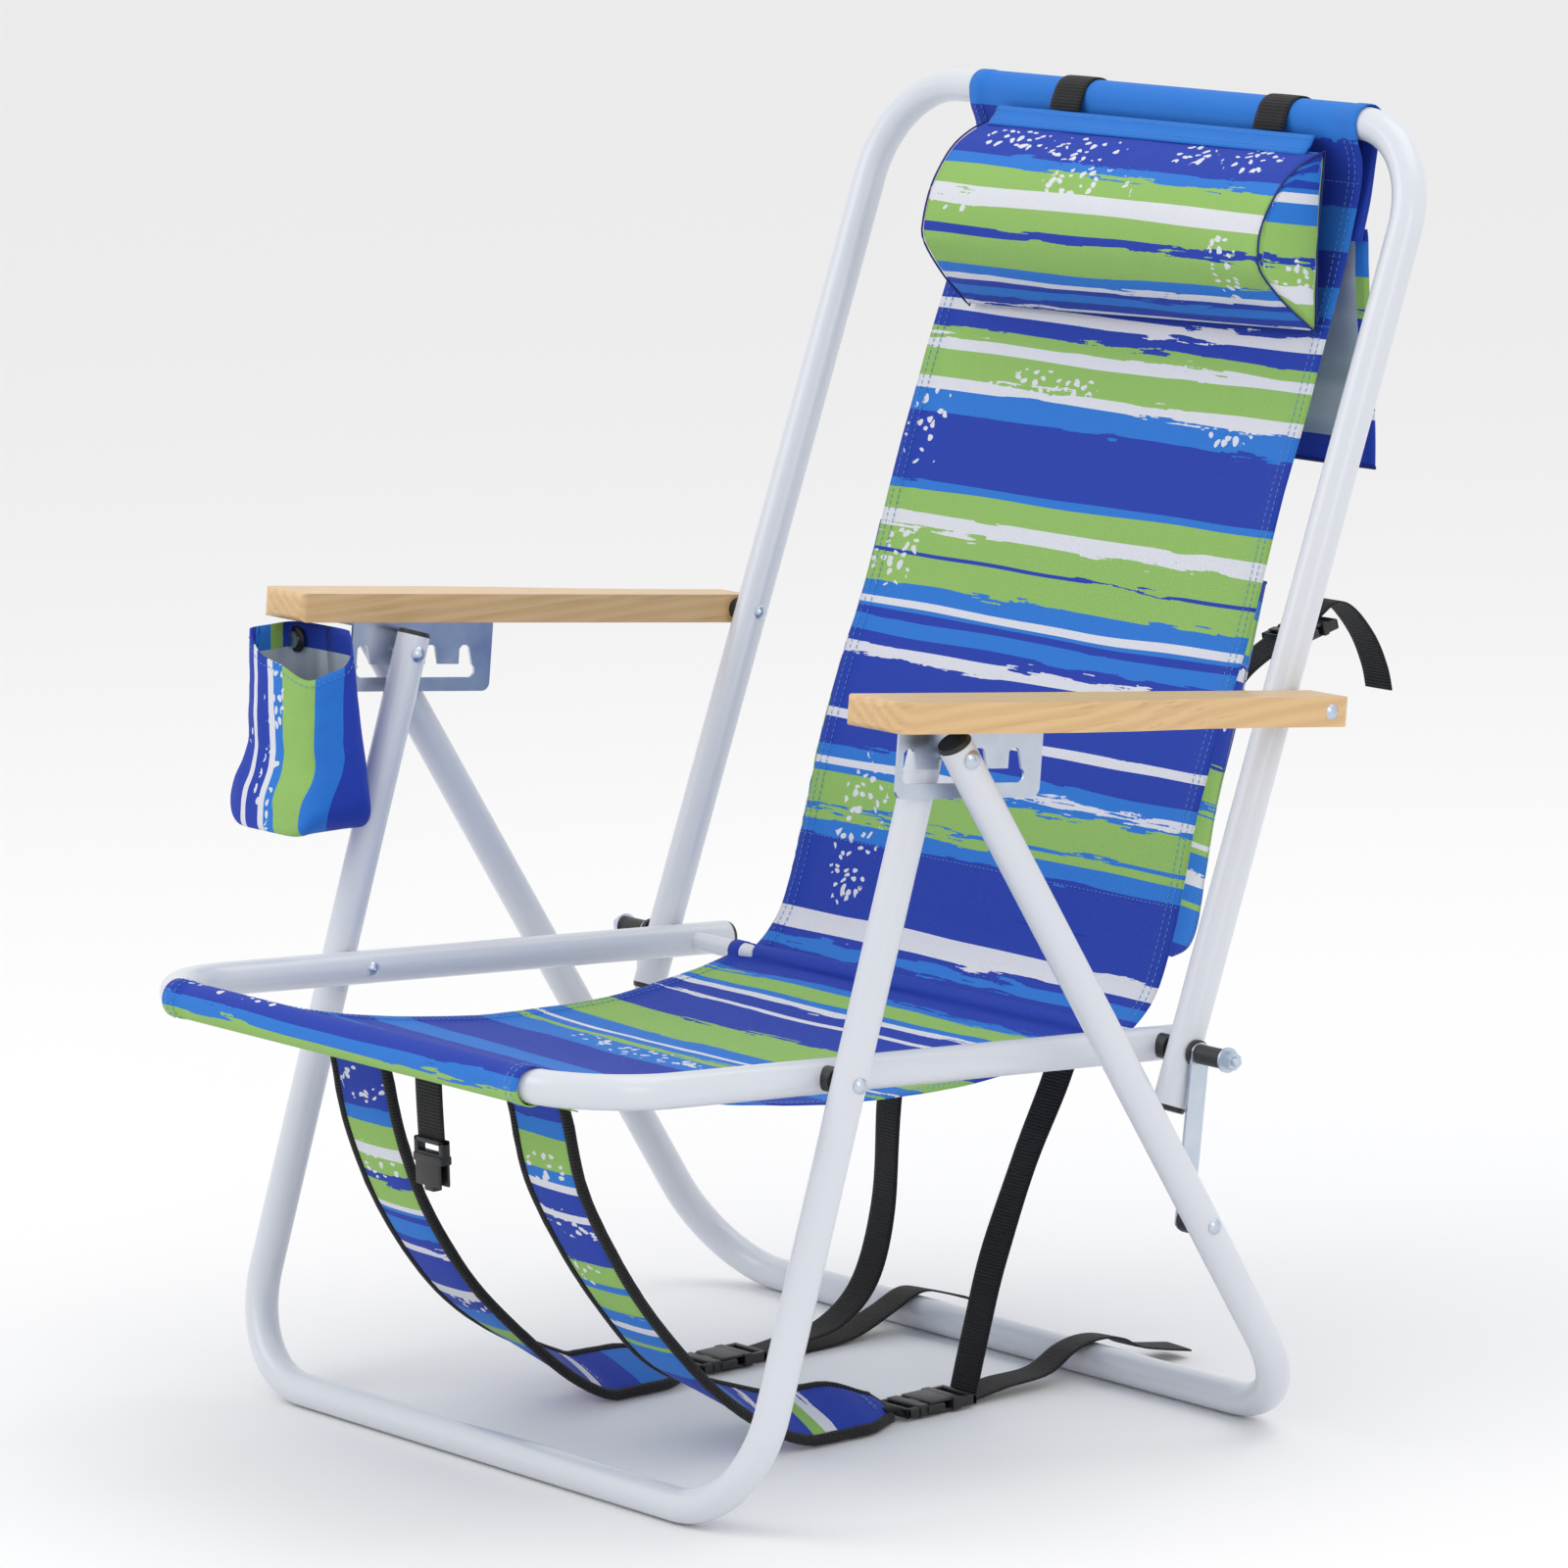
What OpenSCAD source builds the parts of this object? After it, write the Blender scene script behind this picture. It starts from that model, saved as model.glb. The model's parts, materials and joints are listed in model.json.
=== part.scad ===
/* [Tube frame] */
// Outside diameter of the steel frame tube
tube_d = 22; // [20:0.5:26]
// Wall of the steel frame tube
tube_wall = 1.2; // [1:0.1:2]
// Half spacing of the seat rails
rail_x = 239; // [220:1:250]
// Half spacing of the back tube and the front legs
leg_x = 268.5; // [250:0.5:280]
// Half spacing of the rear legs
rear_x = 302.5; // [285:0.5:315]
// Centreline bend radius of the front legs and the seat hoop
bend_front = 70; // [50:1:80]
// Centreline bend radius of the back hoop and the rear legs
bend_back = 68; // [50:1:80]
// Lean of the front legs from the floor
front_angle = 71.47; // [60:0.01:85]
// Length of a front leg from the floor bar to the notch pin
front_len = 483.5; // [420:0.5:520]
// Slope of the rear legs from the floor
rear_angle = 59.63; // [50:0.01:75]

/* [Seat] */
// Fall of the seat rails towards the back
seat_angle = 4.2; // [0:0.1:12]
// Length of a seat rail from the front bar to the back pivot
seat_len = 450.7; // [400:0.1:500]
// Height of the seat front bar
seat_front_z = 285.7; // [240:0.1:330]
// Distance of the seat front bar ahead of the front floor bar
seat_front_reach = 92.8; // [60:0.1:120]
// Seat rail length behind the back pivot
seat_tail = 30; // [20:1:45]
// Diameter of the cross tube at the back of the seat
cross_d = 12.7; // [10:0.1:19]

/* [Back] */
// Angle of the back from the floor
back_angle = 68.67; // [55:0.01:85]
// Length of the back tube from its pivot to the top bar
back_len = 603.3; // [500:0.1:700]
// Back tube length below its pivot
back_tail = 36; // [25:1:60]
// Arm bolt distance up the back tube
arm_bolt_u = 226.9; // [180:0.1:260]

/* [Armrests] */
// Thickness of the wooden arm
arm_thick = 19; // [15:0.5:25]
// Arm length ahead of its bolt
arm_front = 362; // [300:1:400]
// Arm length behind its bolt
arm_behind = 16.6; // [12:0.1:40]
// Inboard face of the arm
arm_in = 283.5; // [281:0.1:290]
// Outboard edge of the arm at the front
arm_out_front = 334; // [320:1:345]
// Outboard edge of the arm at the rear
arm_out_rear = 320; // [310:1:340]
// Upward slope of the arm towards the front
arm_slope = 6.7; // [0:0.1:12]

/* [Notched bracket] */
// Spacing of the four notches
notch_pitch = 27.7; // [20:0.1:35]
// Depth of a notch above the channel
notch_deep = 12.5; // [8:0.5:16]
// Diameter of the pin that rests in a notch
pin_d = 7; // [5:0.5:9]
// Thickness of the bracket plate
plate_t = 2; // [1.5:0.1:3]

/* [Hardware] */
// Diameter of the axle rod through the back pivots
rod_d = 6; // [5:0.5:8]
// Diameter of the rivets and arm bolts
rivet_d = 6; // [5:0.5:8]
// Diameter of the domed rivet heads
head_d = 10; // [8:0.5:14]

/* [Fabric] */
// Thickness of the woven cloth
cloth_t = 1.0; // [0.6:0.1:2]
// Half width of the seat cloth
seat_cloth_x = 189; // [160:1:200]
// Half width of the back cloth
back_cloth_x = 193; // [160:1:200]
// Width of a shoulder strap
strap_w = 62; // [50:1:75]
// Thickness of a shoulder strap
strap_t = 6; // [3:0.5:10]
// Width of the strap webbing
web_w = 25; // [20:1:38]
// Thickness of the strap webbing
web_t = 1.4; // [1:0.1:2]
// Half spacing of the two shoulder straps
strap_x = 92; // [70:1:130]

/* [Hidden] */
$fn = 64;
running = 0.08;
seated = 0.05;
tube_r = tube_d / 2;
bore_r = tube_r - tube_wall;
rivet_r = rivet_d / 2;
rod_r = rod_d / 2;
pin_r = pin_d / 2;
head_r = head_d / 2;
cross_r = cross_d / 2;

floor_front = [1.3, tube_r];
apex = floor_front + front_len * [cos(front_angle), sin(front_angle)];
rear_len = (apex[1] - tube_r) / sin(rear_angle);
floor_rear = [apex[0] + rear_len * cos(rear_angle), tube_r];
seat_front = [floor_front[0] - seat_front_reach, seat_front_z];
seat_dir = [cos(seat_angle), -sin(seat_angle)];
back_pivot = seat_front + seat_len * seat_dir;
leg_dir = [cos(front_angle), sin(front_angle)];
cross_det = seat_dir[0] * leg_dir[1] - seat_dir[1] * leg_dir[0];
gap_yz = floor_front - seat_front;
seat_to_pivot = (gap_yz[0] * leg_dir[1] - gap_yz[1] * leg_dir[0]) / cross_det;
front_pivot = seat_front + seat_to_pivot * seat_dir;
front_pivot_len = norm(front_pivot - floor_front);
up_dir = [cos(back_angle), sin(back_angle)];
rear_dir = [sin(back_angle), -cos(back_angle)];
top_bar = back_pivot + back_len * up_dir;
arm_bolt = back_pivot + arm_bolt_u * up_dir;
link_pivot_len = 371.2;
down_dir = [cos(rear_angle), -sin(rear_angle)];
link_pivot = apex + link_pivot_len * down_dir;
arm_s = [-cos(arm_slope), sin(arm_slope)];
arm_t = [sin(arm_slope), cos(arm_slope)];
pin_off = apex - arm_bolt;
pin_s = pin_off * arm_s;
pin_t = pin_off * arm_t;

sleeve_front_r = tube_r + 0.1;
sleeve_cross_r = cross_r + 0.1;
front_most = seat_front[0] - sleeve_front_r - cloth_t;
tail_end_y = 626;
rear_most = tail_end_y;
y_mid = (front_most + rear_most) / 2;

bush_r = 8;
rail_out = rail_x + tube_r;
rail_in = rail_x - tube_r;
leg_in = leg_x - tube_r;
leg_out = leg_x + tube_r;
rear_in = rear_x - tube_r;
rear_out = rear_x + tube_r;
link_x0 = 283;
link_x1 = 285;
link_w = 14;
sleeve_r = 6.25;

white = [0.88, 0.89, 0.92];
black = [0.13, 0.13, 0.14];
steel = [0.62, 0.67, 0.72];
wood = [0.82, 0.65, 0.42];
blue = [0.2, 0.32, 0.7];
sky = [0.3, 0.55, 0.85];
lime = [0.6, 0.75, 0.4];

// Frame helpers: every piece is drawn with the front floor bar near y = 0
module place() {
  translate([0, -y_mid, 0])
    children();
}

// Both sides of the chair
module both() {
  children();
  mirror([1, 0, 0])
    children();
}

// Cylinder along x between two stations, centred on a side-view point
module xcyl(p, x0, x1, r) {
  translate([x0, p[0], p[1]])
    rotate([0, 90, 0])
      cylinder(h = x1 - x0, r = r);
}

// Low dome head along x: base at x0, crown towards x0 + h
module dome(p, x0, h, r) {
  crown_r = (r * r + h * h) / (2 * h);
  intersection() {
    translate([x0 + h - crown_r, p[0], p[1]])
      rotate([0, 90, 0])
        sphere(r = crown_r);
    xcyl(p, x0, x0 + h + 1, r);
  }
}

// The same dome turned inboard: base at x0, crown towards x0 - h
module dome_in(p, x0, h, r) {
  crown_r = (r * r + h * h) / (2 * h);
  intersection() {
    translate([x0 - h + crown_r, p[0], p[1]])
      rotate([0, 90, 0])
        sphere(r = crown_r);
    xcyl(p, x0 - h - 1, x0, r);
  }
}

// Solid rod bent to a U: bar along x at y = 0, legs along +y
module u_rod(half, leg, bend, r, over) {
  translate([-(half - bend), 0, 0])
    rotate([0, 90, 0])
      cylinder(h = 2 * (half - bend), r = r);
  both() {
    translate([half - bend, bend, 0])
      rotate([0, 0, -90])
        rotate_extrude(angle = 90)
          translate([bend, 0])
            circle(r = r);
    translate([half, bend, 0])
      rotate([-90, 0, 0])
        cylinder(h = leg - bend + over, r = r);
  }
}

module u_tube(half, leg, bend) {
  difference() {
    u_rod(half, leg, bend, tube_r, 0);
    u_rod(half, leg, bend, bore_r, 1);
  }
}

// Place a U whose bar sits at p and whose legs run at angle a in side view
module u_at(p, a) {
  translate([0, p[0], p[1]])
    rotate([a, 0, 0])
      children();
}

// Plug in an open tube end: p is the end, a the outward direction
module plug(x, p, a) {
  rim_t = 3;
  stem_len = 14;
  translate([x, p[0], p[1]])
    rotate([a, 0, 0])
      rotate([-90, 0, 0]) {
        translate([0, 0, seated])
          cylinder(h = rim_t, r1 = tube_r, r2 = tube_r - 1);
        translate([0, 0, -stem_len])
          cylinder(h = stem_len + 1, r = bore_r - seated);
      }
}

// Smooth line through side-view points
function blend4(a, b, c, d, t) =
  0.5 * (2 * b + (c - a) * t + (2 * a - 5 * b + 4 * c - d) * t * t
  + (3 * b - a - 3 * c + d) * t * t * t);
function smooth(p, n) = concat(
  [for (i = [0:len(p) - 2]) for (k = [0:n - 1])
    blend4(p[max(i - 1, 0)], p[i], p[i + 1], p[min(i + 2, len(p) - 1)], k / n)],
  [p[len(p) - 1]]);
function heading(p, i) = let (d = p[min(i + 1, len(p) - 1)] - p[max(i - 1, 0)]) d / norm(d);
function side(p, i) = let (d = heading(p, i)) [-d[1], d[0]];
function ribbon(p, h) = concat(
  [for (i = [0:len(p) - 1]) p[i] + side(p, i) * h / 2],
  [for (i = [len(p) - 1:-1:0]) p[i] - side(p, i) * h / 2]);
function bez(a, b, c, d, n) = [for (i = [0:n]) let (t = i / n, s = 1 - t)
  s * s * s * a + 3 * s * s * t * b + 3 * s * t * t * c + t * t * t * d];

// Extrude a side-view outline across the chair from x0 to x1
module across(x0, x1) {
  translate([x0, 0, 0])
    rotate([90, 0, 90])
      linear_extrude(height = x1 - x0)
        children();
}

// Point on the back: u up from the pivot, d behind the tube plane
function on_back(u, d) = back_pivot + u * up_dir + d * rear_dir;
// Point on the arm: s ahead of the bolt, t above mid thickness
function on_arm(s, t) = arm_bolt + s * arm_s + t * arm_t;

// ---- seat frame ----

module seat_frame_tube() {
  color(white)
    place()
      difference() {
        u_at(seat_front, -seat_angle)
          u_tube(rail_x, seat_len + seat_tail, bend_front);
        both() {
          xcyl(front_pivot, rail_in - 2, rail_out + 2, rivet_r + seated);
          xcyl(back_pivot, rail_in - 2, rail_out + 2, rod_r + running);
        }
      }
}

module rail_rod(x, r) {
  cope_len = 60;
  translate([x, back_pivot[0], back_pivot[1]])
    rotate([-seat_angle, 0, 0])
      rotate([-90, 0, 0])
        translate([0, 0, -cope_len / 2])
          cylinder(h = cope_len, r = r);
}

module cross_tube() {
  cross_half = rail_in + 4;
  cross_bore = 5.15;
  color(white)
    place()
      difference() {
        xcyl(back_pivot, -cross_half, cross_half, cross_r);
        xcyl(back_pivot, -cross_half - 1, cross_half + 1, cross_bore);
        both()
          rail_rod(rail_x, tube_r + seated);
      }
}

module seat_rail_caps() {
  rail_end = seat_front + (seat_len + seat_tail) * seat_dir;
  color(black)
    place()
      both()
        plug(rail_x, rail_end, -seat_angle);
}

module front_leg_rivets() {
  head_h = 2.4;
  color(steel)
    place()
      both() {
        xcyl(front_pivot, rail_in - 0.6, leg_out + 0.6, rivet_r);
        dome_in(front_pivot, rail_in - seated, head_h, head_r);
        dome(front_pivot, leg_out + 0.15, head_h, head_r);
      }
}

module front_leg_bushes() {
  color(black)
    place()
      both()
        difference() {
          xcyl(front_pivot, rail_out - 4, leg_in - 0.15, bush_r);
          xcyl(front_pivot, rail_out - 6, leg_in + 1, rivet_r + seated);
          u_at(seat_front, -seat_angle)
            translate([rail_x, bend_front, 0])
              rotate([-90, 0, 0])
                cylinder(h = seat_len, r = tube_r + seated);
        }
}

module back_pivot_bushes() {
  color(black)
    place()
      both()
        difference() {
          xcyl(back_pivot, rail_out - 4, leg_in - 0.15, bush_r);
          xcyl(back_pivot, rail_out - 6, leg_in + 1, rod_r + running);
          rail_rod(rail_x, tube_r + seated);
        }
}

seat_start = seat_front + (sleeve_front_r + cloth_t / 2) * [0.34, 0.94];
seat_stop = back_pivot + (sleeve_cross_r + cloth_t / 2) * [-0.95, -0.31];
seat_sag_a = seat_start + [118, -58];
seat_sag_b = seat_stop + [-116, -32];
seat_line = bez(seat_start, seat_sag_a, seat_sag_b, seat_stop, 24);

module ring_across(p, r0, r1, x0, x1) {
  difference() {
    xcyl(p, x0, x1, r1);
    xcyl(p, x0 - 1, x1 + 1, r0);
  }
}

seat_sleeve_x = rail_x - bend_front;

module seat_cloth() {
  color(blue)
    place() {
      ring_across(seat_front, sleeve_front_r, sleeve_front_r + cloth_t,
        -seat_sleeve_x, seat_sleeve_x);
      ring_across(back_pivot, sleeve_cross_r, sleeve_cross_r + cloth_t,
        -seat_cloth_x, seat_cloth_x);
      difference() {
        across(-seat_cloth_x, seat_cloth_x)
          polygon(ribbon(seat_line, cloth_t));
        xcyl(seat_front, -seat_cloth_x - 1, seat_cloth_x + 1, sleeve_front_r + 0.2);
        xcyl(back_pivot, -seat_cloth_x - 1, seat_cloth_x + 1, sleeve_cross_r + 0.2);
        both()
          xcyl(seat_front + 1.2 * seat_dir, seat_sleeve_x, seat_cloth_x + 2, tube_r + 1.7);
      }
    }
}

module below_seat() {
  difference() {
    children();
    across(-seat_cloth_x - 1, seat_cloth_x + 1)
      polygon(concat(ribbon(seat_line, cloth_t + 0.2),
        [[seat_start[0], seat_start[1] + 60]]));
    across(-seat_cloth_x - 1, seat_cloth_x + 1)
      polygon(concat([for (p = seat_line) p], [[seat_stop[0], seat_stop[1] + 60],
        [seat_start[0], seat_start[1] + 60]]));
  }
}

strap_lift = strap_t / 2 + 0.4;
web_lift = web_t / 2 + 0.4;

// Near (left) strap: loose loop from the seat underside down to the floor
left_strap_line = smooth([[-22, 279], [-15, 243], [-4, 195], [21, 145], [51, 101],
  [86, 61], [124, 36], [170, 16], [212, strap_lift + 4], [254, strap_lift]], 4);
right_strap_line = smooth([[-22, 279], [-19, 243], [-10, 200], [12, 146], [49, 90],
  [100, 44], [150, 14], [188, strap_lift + 1], [230, strap_lift]], 4);

module shoulder_strap(path, x) {
  below_seat()
    across(x - strap_w / 2, x + strap_w / 2)
      polygon(ribbon(path, strap_t));
}

module left_shoulder_strap() {
  color(sky)
    place()
      shoulder_strap(left_strap_line, strap_x);
}

module right_shoulder_strap() {
  color(sky)
    place()
      shoulder_strap(right_strap_line, -strap_x);
}

// Webbing: riser from the buckle to the pouch, and the loose tail on the floor
left_riser = smooth([[317, 6], [330, 48], [345, 92], [373, 152], [404, 208],
  [424, 262], [430.6, 295]], 4);
left_tail = smooth([[317, 4], [345, 8], [380, 10], [404, 21], [423.5, 24.7], [443, 22],
  [462, 13], [502, 5]], 4);
right_riser = smooth([[290, 5], [318, 8], [355, 14], [385, 38], [402, 86], [409, 155],
  [420, 230], [430.6, 295]], 4);
right_tail = smooth([[290, web_lift + 1], [330, web_lift], [366, 4], [398, 15], [423.5, 24.7],
  [446, 20], [480, 8]], 4);

module webbing(riser, tail, x) {
  slip = 1.0;
  across(x - web_w / 2, x + web_w / 2)
    polygon(ribbon(riser, web_t));
  difference() {
    across(x - web_w / 2, x + web_w / 2)
      polygon(ribbon(tail, web_t));
    across(x - web_w / 2 - slip, x + web_w / 2 + slip)
      polygon(ribbon(riser, web_t + 0.2));
  }
}

module left_strap_webbing() {
  color(black)
    place()
      webbing(left_riser, left_tail, strap_x);
}

module right_strap_webbing() {
  color(black)
    place()
      webbing(right_riser, right_tail, -strap_x);
}

// Side-release buckle lying on the floor between strap and webbing
module buckle(x, y0, y1) {
  wide = 34;
  thick = 8;
  lift = 0.5;
  spine = 5;
  difference() {
    union() {
      translate([x - wide / 2, y0, lift])
        cube([wide, (y1 - y0) * 0.55, thick]);
      translate([x - wide / 2 + 3, y0 + (y1 - y0) * 0.5, lift + 1])
        cube([wide - 6, (y1 - y0) * 0.5, thick - 2]);
    }
    translate([x - web_w / 2 - 1, y1 - 2 * spine, lift - 1])
      cube([web_w + 2, spine, thick + 2]);
  }
}

module left_strap_buckle() {
  color(black)
    place()
      buckle(strap_x, 257.5, 315);
}

module right_strap_buckle() {
  color(black)
    place()
      buckle(-strap_x, 233.5, 288);
}

centre_y = -32;
centre_web_w = 27;

module centre_strap() {
  hang = smooth([[centre_y, 285], [centre_y - 1, 250], [centre_y, 216]], 3);
  color(black)
    place()
      below_seat()
        across(-centre_web_w / 2, centre_web_w / 2)
          polygon(ribbon(hang, web_t));
}

module centre_buckle() {
  body_w = 33;
  body_h = 32;
  body_t = 9;
  mouth_t = 5;
  color(black)
    place()
      difference() {
        translate([-body_w / 2, centre_y - body_t / 2, 183])
          cube([body_w, body_t, body_h + 0.5]);
        translate([-body_w / 2 + 3, centre_y - mouth_t / 2, 182])
          cube([body_w - 6, mouth_t, 22]);
      }
}

// ---- axle ----

module axle_rod() {
  rod_half = 320;
  color(steel)
    place()
      xcyl(back_pivot, -rod_half, rod_half, rod_r);
}

module washer(p, x0, x1, r, hole) {
  difference() {
    xcyl(p, x0, x1, r);
    xcyl(p, x0 - 1, x1 + 1, hole);
  }
}

sleeve_end = 309.4;

module standoff_sleeves() {
  color(black)
    place()
      both()
        washer(back_pivot, link_x1 + 0.2, sleeve_end, sleeve_r, rod_r + seated);
}

module link_washers() {
  color(black)
    place()
      both()
        washer(back_pivot, leg_out + 0.2, link_x0 - 0.2, 8.5, rod_r + seated);
}

module axle_washers() {
  color(steel)
    place()
      both()
        washer(back_pivot, sleeve_end, sleeve_end + 1.6, 8, rod_r + seated);
}

module axle_nuts() {
  nut_len = 6;
  nut_across = 10;
  nut_x = sleeve_end + 1.6;
  color(steel)
    place()
      both()
        difference() {
          translate([nut_x, back_pivot[0], back_pivot[1]])
            rotate([0, 90, 0])
              linear_extrude(height = nut_len)
                circle(r = nut_across / 2 / cos(30), $fn = 6);
          xcyl(back_pivot, nut_x - 1, nut_x + nut_len + 1, rod_r + seated);
        }
}

// ---- back ----

module back_frame_tube() {
  color(white)
    place()
      difference() {
        u_at(top_bar, back_angle - 180)
          u_tube(leg_x, back_len + back_tail, bend_back);
        both() {
          xcyl(back_pivot, leg_in - 2, leg_out + 2, rod_r + running);
          xcyl(arm_bolt, leg_in - 2, leg_out + 2, rivet_r + seated);
        }
      }
}

module back_tube_caps() {
  color(black)
    place()
      both()
        plug(leg_x, on_back(-back_tail, 0), back_angle - 180);
}

// The sling sits off centre along the top bar
top_shift = 17.5;
back_hang = [[590, -6], [580, 4], [566, 11], [545, 15.5], [500, 20], [440, 20.5], [380, 20],
  [306, 21.2], [260, 22], [200, 19.5], [150, 20], [100, 24], [60, 26.5], [34, 25.5], [16, 19],
  [3, 10.5]];
back_line = smooth([for (p = back_hang) on_back(p[0], p[1])], 3);
sleeve_back = smooth([on_back(597, 10.2), on_back(580, 13), on_back(556, 17),
  on_back(530, 18.8)], 3);

module back_cloth() {
  shift_mid = top_shift / 2;
  color(blue)
    place() {
      ring_across(top_bar, sleeve_front_r, sleeve_front_r + cloth_t,
        top_shift - back_cloth_x, leg_x - bend_back + 1);
      difference() {
        across(shift_mid - back_cloth_x, shift_mid + back_cloth_x)
          polygon(ribbon(concat([on_back(597, -10)], back_line), cloth_t));
        xcyl(top_bar, -back_cloth_x - 30, back_cloth_x + 30, sleeve_front_r + 0.2);
      }
      difference() {
        across(shift_mid - back_cloth_x, shift_mid + back_cloth_x)
          polygon(ribbon(sleeve_back, cloth_t));
        xcyl(top_bar, -back_cloth_x - 30, back_cloth_x + 30, sleeve_front_r + 0.2);
      }
    }
}

flap_line = smooth([[572.5, 736], [574, 700], [577, 650], [577.5, 593]], 3);

module rear_flap() {
  color(blue)
    place()
      across(top_shift - back_cloth_x, top_shift + back_cloth_x)
        polygon(ribbon(flap_line, cloth_t));
}

// Pouch: a slack pocket sewn to the rear of the lower back
pouch_x = 188;
pouch_u = [[306, 36], [262, 39], [214, 42], [160, 46], [116, 52], [84, 56], [68, 53],
  [60, 42]];
pouch_out = smooth([for (p = pouch_u) on_back(p[0], p[1])], 3);
pouch_floor_u = 55;

module pouch_block(grow, x) {
  inner_edge = [for (i = [len(back_hang) - 1:-1:0]) if (back_hang[i][0] < 320
    && back_hang[i][0] > pouch_floor_u) on_back(back_hang[i][0], back_hang[i][1] + 1.4 - 2 * grow)];
  across(-x, x)
    polygon(concat([for (p = pouch_out) p - grow * rear_dir], inner_edge));
}

module rear_pouch() {
  skin = cloth_t;
  color(blue)
    place()
      difference() {
        pouch_block(0, pouch_x);
        translate([0, up_dir[0] * skin * 1.5, up_dir[1] * skin * 1.5])
          pouch_block(skin, pouch_x - skin);
      }
}

clip_start = [538, 480];
clip_angle = 13;
clip_len = 38;
clip_x = 160;

// Compression strap of the pouch: sewn piece, clip, and loose tail
module pouch_webbing() {
  sewn = smooth([on_back(214, 43.6), [500, 460.5], [524, 474], [536.3, 479.8]], 4);
  tail_line = smooth([[564, 494.2], [579, 501.5], [594, 495], [611, 475], [621, 454],
    [tail_end_y - web_t / 2 - 0.1, 438]], 4);
  color(black)
    place()
      for (line = [sewn, tail_line])
        across(clip_x - web_w / 2, clip_x + web_w / 2)
          polygon(ribbon(line, web_t));
}

module pouch_buckle() {
  clip_w = 34;
  clip_t = 8;
  color(black)
    place()
      translate([clip_x - clip_w / 2, clip_start[0], clip_start[1]])
        rotate([clip_angle, 0, 0])
          translate([0, 0, -clip_t / 2])
            difference() {
              cube([clip_w, clip_len, clip_t]);
              translate([clip_w / 2 - web_w / 2 - 1, clip_len - 8, -1])
                cube([web_w + 2, 4, clip_t + 2]);
            }
}

pillow_x0 = -145;
pillow_x1 = 188;

// Half-round pillow hanging on the front of the back cloth
module headrest_pillow() {
  chord_half = 66;
  bulge = 50;
  round_r = (chord_half * chord_half + bulge * bulge) / (2 * bulge);
  chord_mid = on_back(524.5, 1.5);
  tilt = 12.4;
  color(lime)
    place()
      translate([pillow_x0, chord_mid[0], chord_mid[1]])
        rotate([back_angle + tilt, 0, 0])
          intersection() {
            translate([0, 0, bulge - round_r])
              rotate([0, 90, 0])
                cylinder(h = pillow_x1 - pillow_x0, r = round_r);
            translate([-1, -chord_half, 0])
              cube([pillow_x1 - pillow_x0 + 2, 2 * chord_half, bulge + 1]);
          }
}

module pillow_loops() {
  loop_r = sleeve_front_r + cloth_t + 0.15;
  front_leg = smooth([top_bar - (loop_r + web_t / 2) * rear_dir,
    on_back(590.5, -loop_r - web_t / 2 + 1.5)], 2);
  color(black)
    place()
      for (span = [[-86, -56], [117, 146]]) {
        difference() {
          ring_across(top_bar, loop_r, loop_r + web_t, span[0], span[1]);
          translate([span[0] - 1, top_bar[0], top_bar[1]])
            rotate([back_angle - 90, 0, 0])
              translate([0, -40, -40])
                cube([span[1] - span[0] + 2, 80, 40]);
        }
        across(span[0], span[1])
          polygon(ribbon(front_leg, web_t));
      }
}

module arm_pivot_bolts() {
  color(steel)
    place()
      both() {
        xcyl(arm_bolt, leg_in - 0.6, arm_in - 0.3, rivet_r);
        dome_in(arm_bolt, leg_in - seated, 2.4, head_r);
      }
}

module arm_bushes() {
  arm_bush_r = 7.5;
  color(black)
    place()
      both()
        difference() {
          xcyl(arm_bolt, leg_out - 3, arm_in - 0.3, arm_bush_r);
          xcyl(arm_bolt, leg_out - 4, arm_in + 1, rivet_r + seated);
          u_at(top_bar, back_angle - 180)
            translate([leg_x, bend_back, 0])
              rotate([-90, 0, 0])
                cylinder(h = back_len, r = tube_r + seated);
        }
}

// ---- front legs ----

leg_over = 12;

module front_leg_tube() {
  color(white)
    place()
      difference() {
        u_at(floor_front, front_angle)
          u_tube(leg_x, front_len + leg_over, bend_front);
        both() {
          xcyl(front_pivot, leg_in - 2, leg_out + 2, rivet_r + running);
          xcyl(apex, leg_in - 2, leg_out + 2, pin_r + running);
        }
      }
}

module front_leg_caps() {
  leg_end = floor_front + (front_len + leg_over) * leg_dir;
  color(black)
    place()
      both()
        difference() {
          plug(leg_x, leg_end, front_angle);
          xcyl(apex, leg_in - 2, leg_out + 2, pin_r + 0.3);
        }
}

module notch_pins() {
  color(steel)
    place()
      both() {
        xcyl(apex, leg_in - 0.7, arm_in - 0.3, pin_r);
        dome_in(apex, leg_in - 0.15, 2.4, head_r + 0.5);
      }
}

// ---- rear legs ----

rear_over = 10;

module rear_leg_tube() {
  color(white)
    place()
      difference() {
        u_at(floor_rear, 180 - rear_angle)
          u_tube(rear_x, rear_len + rear_over, bend_back);
        both() {
          xcyl(apex, rear_in - 2, rear_out + 2, pin_r + seated);
          xcyl(link_pivot, rear_in - 2, rear_out + 2, rivet_r + seated);
        }
      }
}

module rear_leg_caps() {
  leg_end = apex - rear_over * down_dir;
  color(black)
    place()
      both()
        difference() {
          plug(rear_x, leg_end, 180 - rear_angle);
          xcyl(apex, rear_in - 2, rear_out + 2, pin_r + seated);
        }
}

module rear_pin_ends() {
  color(steel)
    place()
      both() {
        xcyl(apex, arm_in + plate_t + 0.3, rear_out + 0.6, pin_r);
        dome(apex, rear_out + seated, 2.6, head_r + 1);
      }
}

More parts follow.
